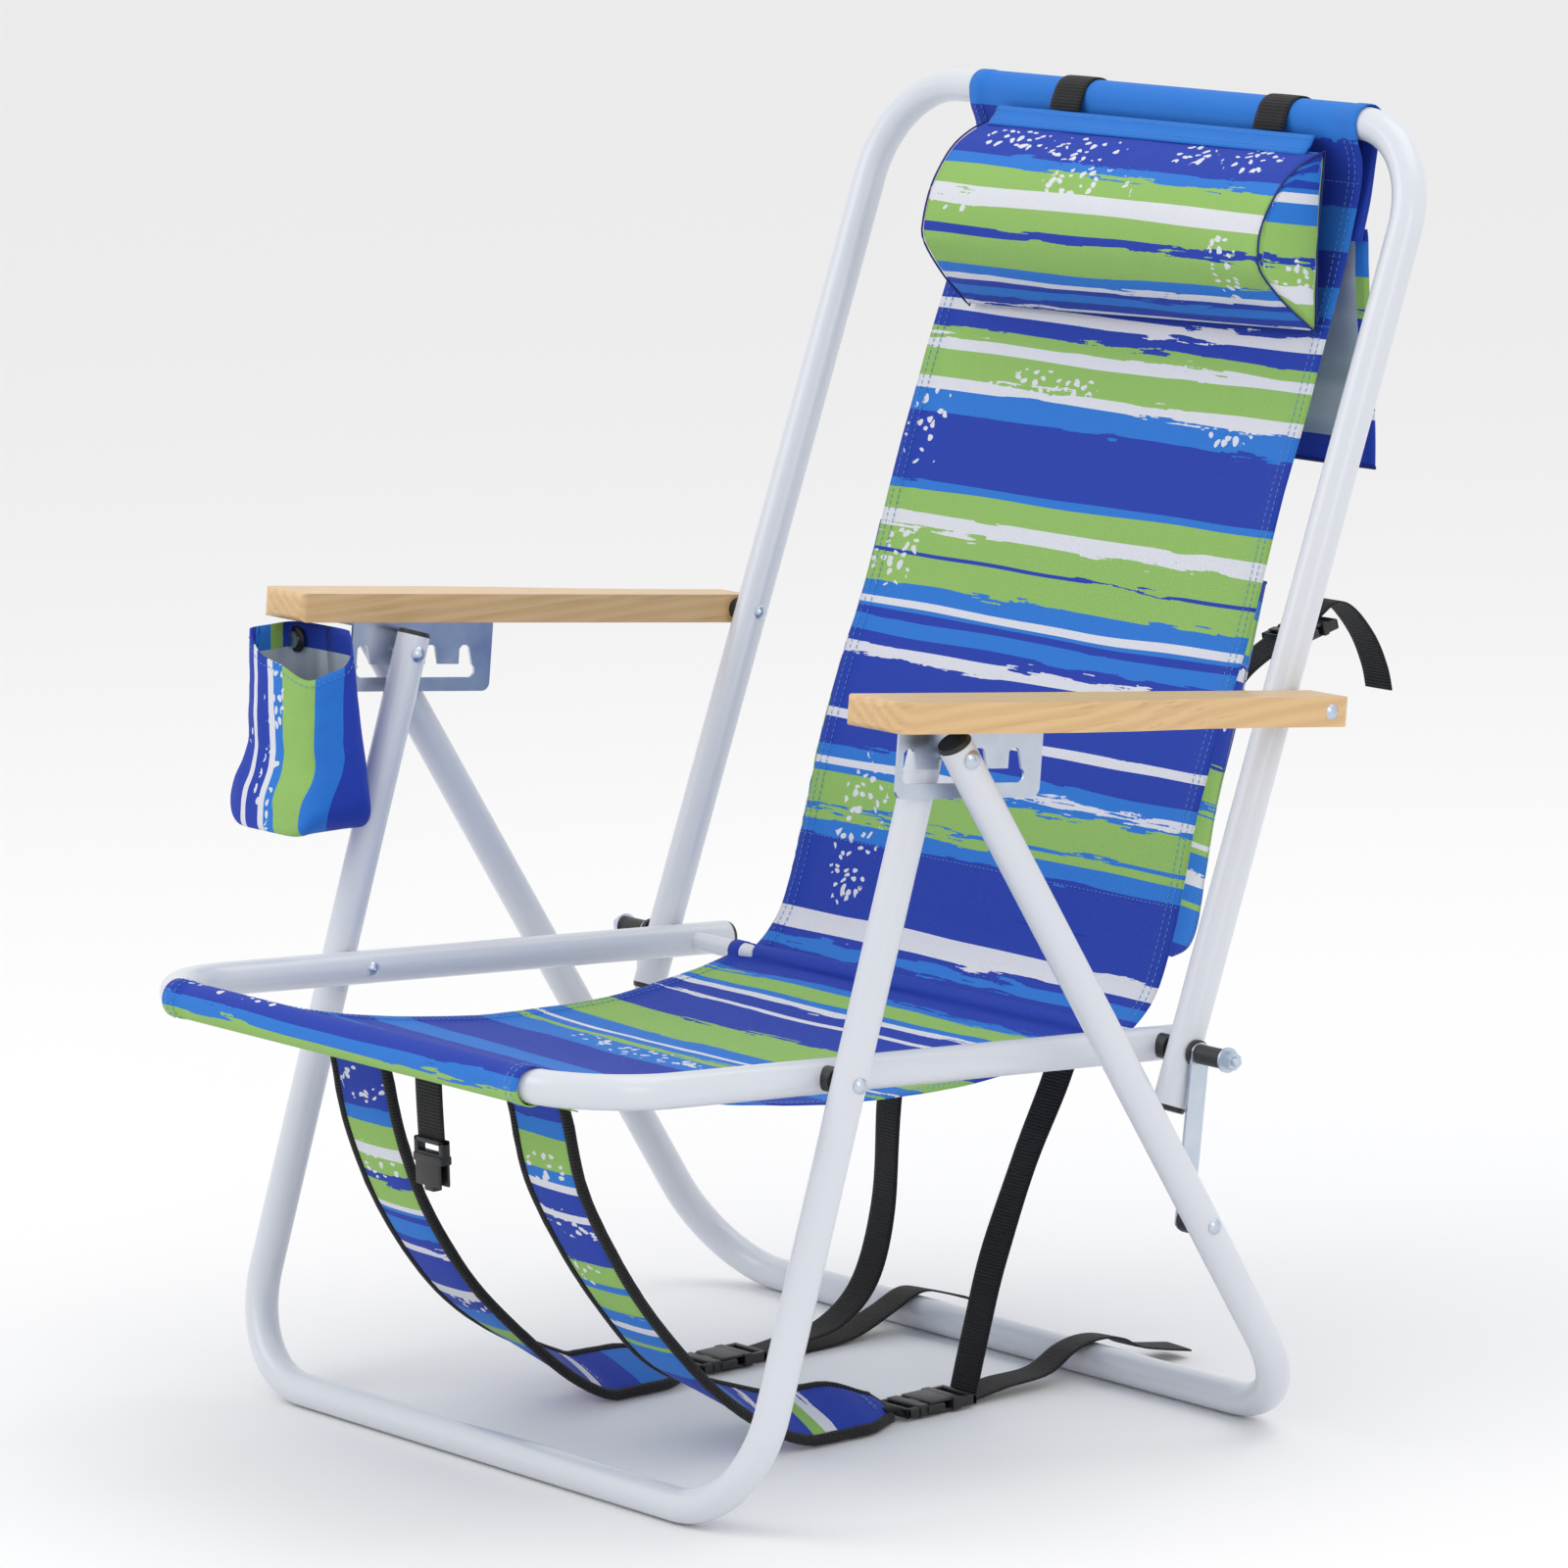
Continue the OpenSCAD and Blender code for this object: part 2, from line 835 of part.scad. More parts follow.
module rear_rod(x, r) {
  translate([x, link_pivot[0], link_pivot[1]])
    rotate([-rear_angle, 0, 0])
      rotate([-90, 0, 0])
        translate([0, 0, -40])
          cylinder(h = 80, r = r);
}

module link_bushes() {
  color(black)
    place()
      both()
        difference() {
          xcyl(link_pivot, link_x1 + 0.4, rear_in + 4, bush_r);
          xcyl(link_pivot, link_x1, rear_in + 5, rivet_r + seated);
          rear_rod(rear_x, tube_r + seated);
        }
}

module link_rivets() {
  color(steel)
    place()
      both() {
        xcyl(link_pivot, link_x1 + 0.6, rear_out + 0.6, rivet_r);
        dome(link_pivot, rear_out + seated, 2.4, head_r);
      }
}

// ---- links ----

module link_plate() {
  span = back_pivot - link_pivot;
  reach = norm(span);
  end_r = link_w / 2 + 0.4;
  difference() {
    translate([link_x0, link_pivot[0], link_pivot[1]])
      rotate([atan2(span[1], span[0]), 0, 0])
        rotate([90, 0, 90])
          linear_extrude(height = link_x1 - link_x0)
            intersection() {
              translate([-link_w, -link_w / 2])
                square([reach + 2 * link_w, link_w]);
              union() {
                circle(r = end_r);
                translate([reach, 0])
                  circle(r = end_r);
                translate([0, -link_w])
                  square([reach, 2 * link_w]);
              }
            }
    xcyl(back_pivot, link_x0 - 1, link_x1 + 1, rod_r + running);
    xcyl(link_pivot, link_x0 - 1, link_x1 + 1, rivet_r + seated);
  }
}

module left_link() {
  color(steel)
    place()
      link_plate();
}

module right_link() {
  color(steel)
    place()
      mirror([1, 0, 0])
        link_plate();
}

module link_rivet_heads() {
  color(steel)
    place()
      both() {
        xcyl(link_pivot, link_x0 - 0.5, link_x1, rivet_r);
        dome_in(link_pivot, link_x0 - seated, 2, head_r - 0.5);
      }
}

// ---- armrests ----

corner_r = 8;
nose_r = 14;

// Plan of the left arm: first value ahead of the bolt, second outboard of the inboard face
module arm_plan() {
  wide_front = arm_out_front - arm_in;
  wide_rear = arm_out_rear - arm_in;
  waist = 60;
  difference() {
    polygon([[-arm_behind, 0], [arm_front, 0], [arm_front, wide_front],
      [waist + 160, wide_front], [waist + 110, wide_front - 3.5], [waist + 45, wide_rear + 2],
      [waist, wide_rear], [-arm_behind, wide_rear]]);
    translate([arm_front - nose_r, wide_front - nose_r])
      difference() {
        square(nose_r + 1);
        circle(r = nose_r);
      }
    translate([-arm_behind + corner_r, wide_rear - corner_r])
      rotate([0, 0, 90])
        difference() {
          square(corner_r + 1);
          circle(r = corner_r);
        }
    translate([arm_front - 4, 4])
      rotate([0, 0, -90])
        difference() {
          square(5);
          circle(r = 4);
        }
  }
}

module arm_side() {
  edge_r = 4;
  half_t = arm_thick / 2;
  difference() {
    translate([-arm_behind, -half_t])
      square([arm_front + arm_behind, arm_thick]);
    for (end = [[arm_front - edge_r, half_t - edge_r, 0],
        [-arm_behind + edge_r, half_t - edge_r, 90],
        [-arm_behind + edge_r, -half_t + edge_r, 180],
        [arm_front - edge_r, -half_t + edge_r, -90]])
      translate([end[0], end[1]])
        rotate([0, 0, end[2]])
          difference() {
            square(edge_r + 1);
            circle(r = edge_r);
          }
  }
}

// Arm frame: x stays across the chair, y runs ahead of the bolt, z is up from mid thickness
module arm_frame() {
  translate([0, arm_bolt[0], arm_bolt[1]])
    rotate([-arm_slope, 0, 0])
      mirror([0, 1, 0])
        children();
}

screw_s = [224, 306];
screw_x = 294.5;
screw_r = 2;

module arm_solid() {
  difference() {
    arm_frame()
      intersection() {
        translate([arm_in, 0, -arm_thick])
          mirror([1, -1, 0])
            linear_extrude(height = 2 * arm_thick)
              arm_plan();
        across(arm_in - 1, arm_out_front + 1)
          arm_side();
      }
    xcyl(arm_bolt, arm_in - 1, arm_out_front + 1, rivet_r + seated);
    arm_frame()
      for (s = screw_s)
        translate([screw_x, s, -arm_thick / 2 - 1])
          cylinder(h = 14.2, r = screw_r + seated);
  }
}

module left_armrest() {
  color(wood)
    place()
      arm_solid();
}

module right_armrest() {
  color(wood)
    place()
      mirror([1, 0, 0])
        arm_solid();
}

plate_s0 = 206;
plate_s1 = 320;
plate_low = -55.1;
floor_low = pin_t - pin_r - 14.4;
flange_w = 17;
tooth_low = pin_t - 9.1;
window_s0 = 219;
window_s1 = pin_s + pin_r + notch_pitch;

module notch_shape() {
  wall = pin_r + 0.1;
  top = pin_t + pin_r + 0.1;
  polygon([[wall, tooth_low - 1], [wall, top - 2.5], [wall - 2.5, top], [-wall + 1, top],
    [-wall - 1, top - 2], [-wall - 4, tooth_low - 1]]);
}

module bracket_face() {
  window_r = 4.6;
  channel_mid = (tooth_low + floor_low) / 2;
  difference() {
    translate([plate_s0, plate_low])
      square([plate_s1 - plate_s0, -plate_low - arm_thick / 2 - seated]);
    for (i = [0:3])
      translate([pin_s + (1 - i) * notch_pitch, 0])
        notch_shape();
    translate([window_s0 + window_r, floor_low])
      square([window_s1 - window_s0 - 2 * window_r + 0.5, tooth_low - floor_low]);
    translate([window_s0 + window_r, channel_mid])
      circle(r = window_r);
    translate([window_s1 - window_r + 0.1, channel_mid])
      circle(r = window_r);
    for (end = [[plate_s0 + 6, 180], [plate_s1 - 6, -90]])
      translate([end[0], plate_low + 6])
        rotate([0, 0, end[1]])
          difference() {
            square(7);
            circle(r = 6);
          }
  }
}

module bracket_solid() {
  flange_top = -arm_thick / 2 - seated;
  arm_frame() {
    difference() {
      union() {
        across(arm_in, arm_in + plate_t)
          bracket_face();
        translate([arm_in, plate_s0, flange_top - plate_t])
          cube([plate_t + flange_w, plate_s1 - plate_s0, plate_t]);
      }
      for (s = screw_s)
        translate([screw_x, s, flange_top - plate_t - 1])
          cylinder(h = plate_t + 2, r = screw_r + seated);
    }
  }
}

module left_bracket() {
  color(steel)
    place()
      bracket_solid();
}

module right_bracket() {
  color(steel)
    place()
      mirror([1, 0, 0])
        bracket_solid();
}

module bracket_screws() {
  head_low = -arm_thick / 2 - seated - plate_t - 0.4;
  color(steel)
    place()
      both()
        arm_frame()
          for (s = screw_s)
            translate([screw_x, s, head_low]) {
              cylinder(h = 0.35, r = 3.4);
              cylinder(h = 14, r = screw_r);
            }
}

module arm_bolt_ends() {
  color(steel)
    place()
      both() {
        xcyl(arm_bolt, arm_in, arm_out_rear + 0.6, rivet_r);
        dome(arm_bolt, arm_out_rear + seated, 2.2, head_r);
      }
}

// Cup pouch hung from the front of the right arm
cup_x0 = -333.5;
cup_x1 = -246;
cup_y0 = 46;
cup_y1 = 103;
cup_z0 = 361;
hanger_x = 318;
cup_screw = [99, 480];

module cup_outline(grow) {
  cup_back = [[cup_y1 - grow, cup_z0 + grow], [cup_y1 + 1 - grow, 494.3]];
  cup_front = [[cup_y0 + 10 + grow, 463 + 3 * grow], [cup_y0 + grow, 440],
    [cup_y0 + 2 + grow, cup_z0 + grow]];
  polygon(concat(cup_back, [[cup_y0 + 40, 494.3 + grow]], cup_front));
}

module cup_pouch() {
  skin = 1.2;
  lid_gap = 0.3;
  color(sky)
    place()
      difference() {
        across(cup_x0, cup_x1)
          cup_outline(0);
        across(cup_x0 + skin, cup_x1 - skin)
          cup_outline(skin);
        translate([cup_x0 + skin, cup_y0 - 5, 462])
          cube([cup_x1 - cup_x0 - 2 * skin, cup_y1 - cup_y0 - 1, 60]);
        across(cup_x0 - 1, cup_x1 + 1)
          polygon([on_arm(arm_front + 20, -arm_thick / 2 - lid_gap),
            on_arm(plate_s0, -arm_thick / 2 - lid_gap), on_arm(plate_s0, 40),
            on_arm(arm_front + 20, 40)]);
        xcyl_y(-hanger_x, cup_screw, rivet_r + 0.2);
      }
}

// Short screw hole along y
module xcyl_y(x, p, r) {
  translate([x, p[0] - 12, p[1]])
    rotate([-90, 0, 0])
      cylinder(h = 24, r = r);
}

module cup_pouch_screw() {
  color(steel)
    place()
      translate([-hanger_x, cup_screw[0] - 3.4, cup_screw[1]])
        rotate([-90, 0, 0]) {
          cylinder(h = 8.5, r = 2.5);
          translate([0, 0, 0])
            cylinder(h = 2.2, r = 5.5);
        }
}

module pouch_hanger() {
  tab_w = 16;
  tab_low = 471;
  color(steel)
    place()
      difference() {
        across(-hanger_x - tab_w / 2, -hanger_x + tab_w / 2)
          difference() {
            translate([cup_y1 + 2, tab_low])
              square([1.8, 40]);
            polygon([on_arm(arm_front + 20, -arm_thick / 2 - seated),
              on_arm(plate_s0, -arm_thick / 2 - seated), on_arm(plate_s0, 40),
              on_arm(arm_front + 20, 40)]);
          }
        translate([-hanger_x, cup_y1 - 10, cup_screw[1]])
          rotate([-90, 0, 0])
            cylinder(h = 24, r = 2.5 + seated);
      }
}

seat_frame_tube();
cross_tube();
seat_rail_caps();
front_leg_rivets();
front_leg_bushes();
back_pivot_bushes();
seat_cloth();
left_shoulder_strap();
right_shoulder_strap();
left_strap_webbing();
right_strap_webbing();
left_strap_buckle();
right_strap_buckle();
centre_strap();
centre_buckle();
axle_rod();
standoff_sleeves();
link_washers();
axle_washers();
axle_nuts();
back_frame_tube();
back_tube_caps();
back_cloth();
rear_flap();
rear_pouch();
pouch_webbing();
pouch_buckle();
headrest_pillow();
pillow_loops();
arm_pivot_bolts();
arm_bushes();
front_leg_tube();
front_leg_caps();
notch_pins();
rear_leg_tube();
rear_leg_caps();
rear_pin_ends();
link_bushes();
link_rivets();
left_link();
right_link();
link_rivet_heads();
left_armrest();
right_armrest();
left_bracket();
right_bracket();
bracket_screws();
arm_bolt_ends();
cup_pouch();
cup_pouch_screw();
pouch_hanger();
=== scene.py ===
import json
import math
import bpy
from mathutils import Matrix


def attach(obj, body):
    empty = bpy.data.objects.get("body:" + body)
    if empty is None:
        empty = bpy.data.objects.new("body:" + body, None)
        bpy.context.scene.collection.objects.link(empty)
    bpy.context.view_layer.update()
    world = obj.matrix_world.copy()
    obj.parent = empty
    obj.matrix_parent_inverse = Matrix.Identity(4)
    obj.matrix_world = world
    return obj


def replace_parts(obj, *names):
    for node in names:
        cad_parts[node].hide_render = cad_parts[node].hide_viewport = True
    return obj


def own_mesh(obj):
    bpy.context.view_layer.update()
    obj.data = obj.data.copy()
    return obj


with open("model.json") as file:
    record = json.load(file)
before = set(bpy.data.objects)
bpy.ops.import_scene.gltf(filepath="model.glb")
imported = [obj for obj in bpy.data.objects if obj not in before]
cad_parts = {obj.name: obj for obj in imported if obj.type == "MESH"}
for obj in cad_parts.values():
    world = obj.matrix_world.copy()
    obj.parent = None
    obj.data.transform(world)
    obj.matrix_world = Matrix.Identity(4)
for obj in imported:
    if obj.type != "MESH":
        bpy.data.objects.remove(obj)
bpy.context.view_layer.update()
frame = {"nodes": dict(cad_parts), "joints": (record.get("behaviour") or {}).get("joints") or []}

from types import SimpleNamespace

import bmesh
import bpy
from mathutils import Matrix, Vector, noise

MM = 0.001

# ---------------------------------------------------------------- the frame
joints = {j["name"]: j for j in frame["joints"]}
back_pivot = Vector(joints["fold"]["pos_m"])
BACK_DEGREES = 68.67
BACK_ANGLE = math.radians(BACK_DEGREES)
BACK_LEN = 603.3
UP = Vector((0, math.cos(BACK_ANGLE), math.sin(BACK_ANGLE)))
REAR = Vector((0, math.sin(BACK_ANGLE), -math.cos(BACK_ANGLE)))
# Drawing coordinates: y measured from the front floor bar, in millimetres
PIVOT_YZ = (358.0, 252.7)
CROSS_TUBE = (357.99, 252.69)
BACK, SEAT, ARMS = "back_frame", "seat_frame", "armrests"


def at(x, y, z):
    """A point given in drawing millimetres, in the row frame's metres."""
    return Vector((x * MM, back_pivot.y + (y - PIVOT_YZ[0]) * MM, z * MM))


def on_back(u, d):
    """Drawing (y, z) of a point u up the back and d behind its tube plane."""
    y = PIVOT_YZ[0] + u * UP.y + d * REAR.y
    z = PIVOT_YZ[1] + u * UP.z + d * REAR.z
    return (y, z)


# ---------------------------------------------------------------- camera
AZIMUTH, ELEVATION, ROLL = math.radians(51.92), math.radians(10.13), math.radians(-1.4246)
CAMERA_DISTANCE = 5.471
AIM = at(0, 254.8, 402.5)
toward = Vector((
    math.sin(AZIMUTH) * math.cos(ELEVATION),
    -math.cos(AZIMUTH) * math.cos(ELEVATION),
    math.sin(ELEVATION),
))
right = Vector((math.cos(AZIMUTH), math.sin(AZIMUTH), 0))
above = toward.cross(right)
cam_x = math.cos(ROLL) * right + math.sin(ROLL) * above
cam_y = -math.sin(ROLL) * right + math.cos(ROLL) * above
camera = bpy.data.objects.new("camera", bpy.data.cameras.new("camera"))
bpy.context.scene.collection.objects.link(camera)
camera.data.sensor_width = 36
camera.data.lens = 195.68
camera.data.clip_end = 50
turn = Matrix((cam_x, cam_y, toward)).transposed().to_4x4()
camera.matrix_world = Matrix.Translation(AIM + toward * CAMERA_DISTANCE) @ turn
bpy.context.scene.camera = camera


# ---------------------------------------------------------------- materials
def srgb(r, g, b):
    def line(c):
        c /= 255
        return c / 12.92 if c <= 0.04045 else ((c + 0.055) / 1.055) ** 2.4

    return (line(r), line(g), line(b), 1)


BLUE, SKY, LIME, WHITE = srgb(26, 60, 172), srgb(38, 120, 212), srgb(146, 190, 100), srgb(222, 224, 232)
INK = {"B": BLUE, "S": SKY, "L": LIME, "W": WHITE}
RAMP_STOPS = 30


class Nodes:
    """A short way to write shader nodes."""

    def __init__(self, name):
        self.material = bpy.data.materials.new(name)
        self.material.use_nodes = True
        self.tree = self.material.node_tree
        self.shader = self.tree.nodes["Principled BSDF"]

    def add(self, kind, **settings):
        node = self.tree.nodes.new(kind)
        for key, value in settings.items():
            setattr(node, key, value)
        return node

    def link(self, source, target):
        if isinstance(source, (int, float, tuple)):
            target.default_value = source
        else:
            self.tree.links.new(source, target)

    def math(self, operation, *values):
        node = self.add("ShaderNodeMath", operation=operation)
        for value, socket in zip(values, node.inputs):
            self.link(value, socket)
        return node.outputs[0]

    def times(self, a, b):
        return self.math("MULTIPLY", a, b)

    def plus(self, a, b):
        return self.math("ADD", a, b)

    def fit(self, value, gain, offset):
        return self.math("MULTIPLY_ADD", value, gain, offset)

    def wave(self, value, length):
        return self.math("SINE", self.times(value, 2 * math.pi / length))

    def vector(self, x, y, z=0.0):
        node = self.add("ShaderNodeCombineXYZ")
        for socket, value in zip(node.inputs, (x, y, z)):
            self.link(value, socket)
        return node.outputs[0]

    def stretched(self, parts, factors):
        return self.vector(*[self.times(part, factor) for part, factor in zip(parts, factors)])

    def split(self, vector):
        node = self.add("ShaderNodeSeparateXYZ")
        self.link(vector, node.inputs[0])
        return node.outputs

    def cloth(self):
        """Place on the cloth in metres: across, and along the print."""
        return self.split(self.add("ShaderNodeUVMap", uv_map="cloth").outputs["UV"])[:2]

    def place(self):
        return self.add("ShaderNodeTexCoord").outputs["Object"]

    def noise(self, vector, scale=1.0, detail=2.0):
        node = self.add("ShaderNodeTexNoise")
        self.link(vector, node.inputs["Vector"])
        self.link(scale, node.inputs["Scale"])
        self.link(detail, node.inputs["Detail"])
        return node.outputs["Fac"]

    def step(self, value, low, high):
        node = self.add("ShaderNodeMapRange", interpolation_type="SMOOTHSTEP")
        for source, name in ((value, "Value"), (low, "From Min"), (high, "From Max")):
            self.link(source, node.inputs[name])
        return node.outputs["Result"]

    def mix(self, amount, a, b, blend="MIX"):
        node = self.add("ShaderNodeMix", data_type="RGBA", blend_type=blend)
        for source, index in ((amount, 0), (a, 6), (b, 7)):
            self.link(source, node.inputs[index])
        return node.outputs[2]

    def bump(self, height, distance, strength=1.0):
        node = self.add("ShaderNodeBump")
        for source, name in ((height, "Height"), (distance, "Distance"), (strength, "Strength")):
            self.link(source, node.inputs[name])
        self.link(node.outputs["Normal"], self.shader.inputs["Normal"])

    def set(self, **values):
        """Shader inputs by name, with _ for a space, as numbers, colours or sockets."""
        for key, value in values.items():
            self.link(value, self.shader.inputs[key.replace("_", " ")])


def bands(text):
    """Stripes in order along a cloth: each word is an ink and its width in mm."""
    return [(word[0], float(word[1:])) for word in text.split()]


def stripe_bands(kit, place, stripes, start):
    """Flat bands of colour by place along the cloth, in metres."""
    total = sum(width for _, width in stripes)
    scaled = kit.fit(place, 1000.0 / total, -start / total)
    colour = None
    done = 0.0
    for first in range(0, len(stripes), RAMP_STOPS):
        group = stripes[first:first + RAMP_STOPS]
        ramp = kit.add("ShaderNodeValToRGB")
        ramp.color_ramp.interpolation = "CONSTANT"
        stops = ramp.color_ramp.elements
        edge = done
        for index, (ink, width) in enumerate(group):
            spot = min(edge / total, 1.0)
            stop = stops[index] if index < 2 else stops.new(spot)
            stop.position = spot
            stop.color = INK[ink]
            edge += width
        kit.link(scaled, ramp.inputs["Fac"])
        if colour is None:
            colour = ramp.outputs["Color"]
        else:
            past = kit.math("GREATER_THAN", scaled, done / total)
            colour = kit.mix(past, colour, ramp.outputs["Color"])
        done = edge
    return colour


def petals(kit, inked, across, along, crumb, clusters, seed):
    """Small white petals inside ragged ellipses, (x, place along, half width, half length) in mm."""
    bend = kit.noise(kit.vector(across, along, seed + 11), 60.0, 1.0)
    cells = kit.add("ShaderNodeTexVoronoi", voronoi_dimensions="2D", feature="F1")
    kit.link(kit.vector(across, kit.times(kit.fit(bend, 0.018, along), 1.45)), cells.inputs["Vector"])
    kit.link(118.0, cells.inputs["Scale"])
    kit.link(0.9, cells.inputs["Randomness"])
    dot = kit.math("LESS_THAN", cells.outputs["Distance"], kit.fit(bend, 0.6, -0.01))
    pick = kit.add("ShaderNodeSeparateColor")
    kit.link(cells.outputs["Color"], pick.inputs[0])
    dot = kit.times(dot, kit.math("GREATER_THAN", pick.outputs[0], 0.38))
    where = None
    for x, middle, wide, long in clusters:
        dx = kit.fit(across, 1000 / wide, -x / wide)
        dv = kit.fit(along, 1000 / long, -middle / long)
        span = kit.plus(kit.times(dx, dx), kit.times(dv, dv))
        where = span if where is None else kit.math("MINIMUM", where, span)
    inside = kit.math("LESS_THAN", kit.plus(where, kit.fit(crumb, 1.2, -0.6)), 1.0)
    return kit.mix(kit.times(dot, inside), inked, WHITE)


def printed_cloth(name, stripes, start, clusters, seed):
    """Striped print with brushed edges and clusters of white petals on a twill weave."""
    kit = Nodes(name)
    across, along = kit.cloth()
    drift = kit.noise(kit.vector(across, kit.times(along, 5.0), seed), 6.0, 1.0)
    brush = kit.noise(kit.vector(kit.times(across, 0.20), kit.times(along, 2.4), seed + 3), 120.0, 3.0)
    crumb = kit.noise(kit.vector(across, along, seed + 5), 240.0, 1.0)
    patch = kit.noise(kit.vector(across, kit.times(along, 5.0), seed + 7), 7.0, 1.0)
    wobble = kit.plus(kit.fit(brush, 0.026, -0.013), kit.fit(crumb, 0.003, -0.0015))
    fray = kit.times(wobble, kit.step(patch, 0.50, 0.62))
    place = kit.plus(along, kit.plus(kit.fit(drift, 0.007, -0.0035), fray))
    inked = stripe_bands(kit, place, stripes, start)
    inked = petals(kit, inked, across, along, crumb, clusters, seed)

    rib = kit.wave(kit.plus(across, along), 0.0019)
    yarn = kit.noise(kit.vector(across, along, 1.0), 900.0, 1.0)
    shade = kit.plus(kit.fit(rib, 0.075, 0.95), kit.fit(yarn, 0.10, -0.05))
    tone = kit.add("ShaderNodeCombineColor")
    for socket in tone.inputs[:3]:
        kit.link(shade, socket)
    kit.bump(kit.fit(rib, 0.5, yarn), 0.00022, 0.5)
    kit.set(Base_Color=kit.mix(1.0, inked, tone.outputs[0], "MULTIPLY"), Roughness=0.72,
            Sheen_Weight=0.03, Specular_IOR_Level=0.3)
    return kit.material


def lining():
    """Grey coated reverse of the cloth, with the print showing faintly through."""
    kit = Nodes("coated_lining")
    across, along = kit.cloth()
    ghost = kit.noise(kit.vector(kit.times(across, 0.2), along), 40.0, 1.0)
    kit.set(Base_Color=kit.mix(kit.step(ghost, 0.40, 0.65), srgb(178, 189, 200), srgb(152, 167, 180)))
    kit.bump(kit.noise(kit.vector(across, along), 700.0, 1.0), 0.0002, 0.4)
    kit.set(Roughness=0.6)
    return kit.material


def webbing_cloth():
    """Black woven webbing with cross ribs, with painted shade in the grooves between them."""
    kit = Nodes("black_webbing")
    across, along = kit.cloth()
    weave = kit.fit(kit.wave(across, 0.0013), 0.35, kit.wave(along, 0.0022))
    kit.bump(weave, 0.0004, 0.7)
    # The weave height also sets the colour: darker in the grooves between the ribs and lighter on their
    # tops. This is painted shade and painted highlight.
    kit.set(Base_Color=kit.mix(kit.step(weave, -1.0, 1.2), srgb(9, 9, 10), srgb(33, 33, 36)),
            Roughness=0.68, Sheen_Weight=0.05, Specular_IOR_Level=0.3)
    return kit.material


def powder_coat():
    """Glossy white powder coat with a fine orange peel."""
    kit = Nodes("white_powder_coat")
    haze = kit.noise(kit.place(), 9.0, 2.0)
    kit.bump(kit.noise(kit.place(), 260.0, 2.0), 0.00012, 0.15)
    kit.set(Base_Color=kit.mix(haze, srgb(213, 216, 224), srgb(209, 213, 221)), Roughness=0.28,
            Coat_Weight=0.35, Coat_Roughness=0.12)
    return kit.material


def moulded_black():
    """Black moulded plastic with a faint grain."""
    kit = Nodes("black_plastic")
    wear = kit.noise(kit.place(), 60.0, 3.0)
    kit.bump(kit.noise(kit.place(), 1400.0, 1.0), 0.00008, 0.4)
    kit.set(Base_Color=kit.mix(wear, srgb(20, 20, 22), srgb(38, 38, 41)), Roughness=kit.fit(wear, 0.2, 0.32))
    return kit.material


def zinc_plate():
    """Zinc plated steel: bluish, slightly mottled."""
    kit = Nodes("zinc_steel")
    spangle = kit.noise(kit.place(), 55.0, 3.0)
    brushed = kit.noise(kit.stretched(kit.split(kit.place()), (900.0, 60.0, 900.0)))
    kit.bump(brushed, 0.00005, 0.35)
    kit.set(Base_Color=kit.mix(spangle, srgb(176, 188, 204), srgb(214, 221, 232)),
            Roughness=kit.fit(spangle, 0.22, 0.22), Metallic=1.0)
    return kit.material


def varnished_wood():
    """Light clear-lacquered hardwood, grain along the arm."""
    kit = Nodes("light_wood")
    x, y, z = spot = kit.split(kit.place())
    wander = kit.noise(kit.stretched(spot, (6.0, 1.4, 6.0)), 2.0)
    rings = kit.wave(kit.plus(kit.fit(x, 0.7, z), kit.times(wander, 0.028)), 0.0085)
    fibre = kit.noise(kit.stretched(spot, (420.0, 14.0, 420.0)), 1.0, 3.0)
    board = kit.noise(kit.stretched(spot, (20.0, 3.0, 20.0)), 1.0, 1.0)
    base = kit.mix(kit.times(kit.step(rings, -1.0, 1.2), 0.6), srgb(214, 178, 128), srgb(197, 156, 104))
    base = kit.mix(kit.times(kit.step(fibre, 0.52, 0.74), 0.45), base, srgb(170, 126, 78))
    base = kit.mix(kit.times(board, 0.35), base, srgb(224, 192, 142))
    kit.bump(fibre, 0.0003, 0.3)
    kit.set(Base_Color=base, Roughness=kit.fit(fibre, 0.2, 0.30), Coat_Weight=0.25, Coat_Roughness=0.25)
    return kit.material


def thread():
    """Light blue sewing thread."""
    kit = Nodes("blue_stitching")
    light = srgb(96, 158, 226)
    dark = tuple(0.8 * c for c in light[:3]) + (1,)
    kit.set(Base_Color=kit.mix(kit.noise(kit.place(), 2500.0, 1.0), light, dark), Roughness=0.6)
    return kit.material


def navy_binding():
    """Dark blue piping cloth."""
    kit = Nodes("navy_binding")
    kit.bump(kit.noise(kit.place(), 900.0, 1.0), 0.0003, 0.5)
    kit.set(Base_Color=srgb(22, 36, 110), Roughness=0.75)
    return kit.material


# Each print: its stripes, where they start in mm, and its clusters of petals
print_back = printed_cloth("back_print", bands(
    "B60 S31 B42 S28 B22 S22 B16 W7 B10 L10 W8 L19 W8 S15 B47 S6 L15 W13 L15 B4 L19 S10 W6 S3 B4 S11 "
    "B10 W6 B39 W9 B17 S8 W6 S5 L20 S4 L6 S9 B53 W13 B5 S8 B30"), -80, [
    (-170, 232, 20, 30), (-172, 318, 22, 26), (-135, 505, 22, 52), (-60, 190, 45, 9),
    (120, 208, 26, 9),
], seed=2.0)
print_seat = printed_cloth("seat_print", bands(
    "L60 S9 B128 S7 B28 S35 B60 S27 L7 S9 W5 S16 L43 B34 W4 B15 W5 S7 L15 S8 B40"), -82, [
    (-150, 8, 34, 13), (-96, 2, 20, 9), (40, 96, 60, 14), (-40, 262, 70, 12), (120, 330, 40, 12),
], seed=5.0)
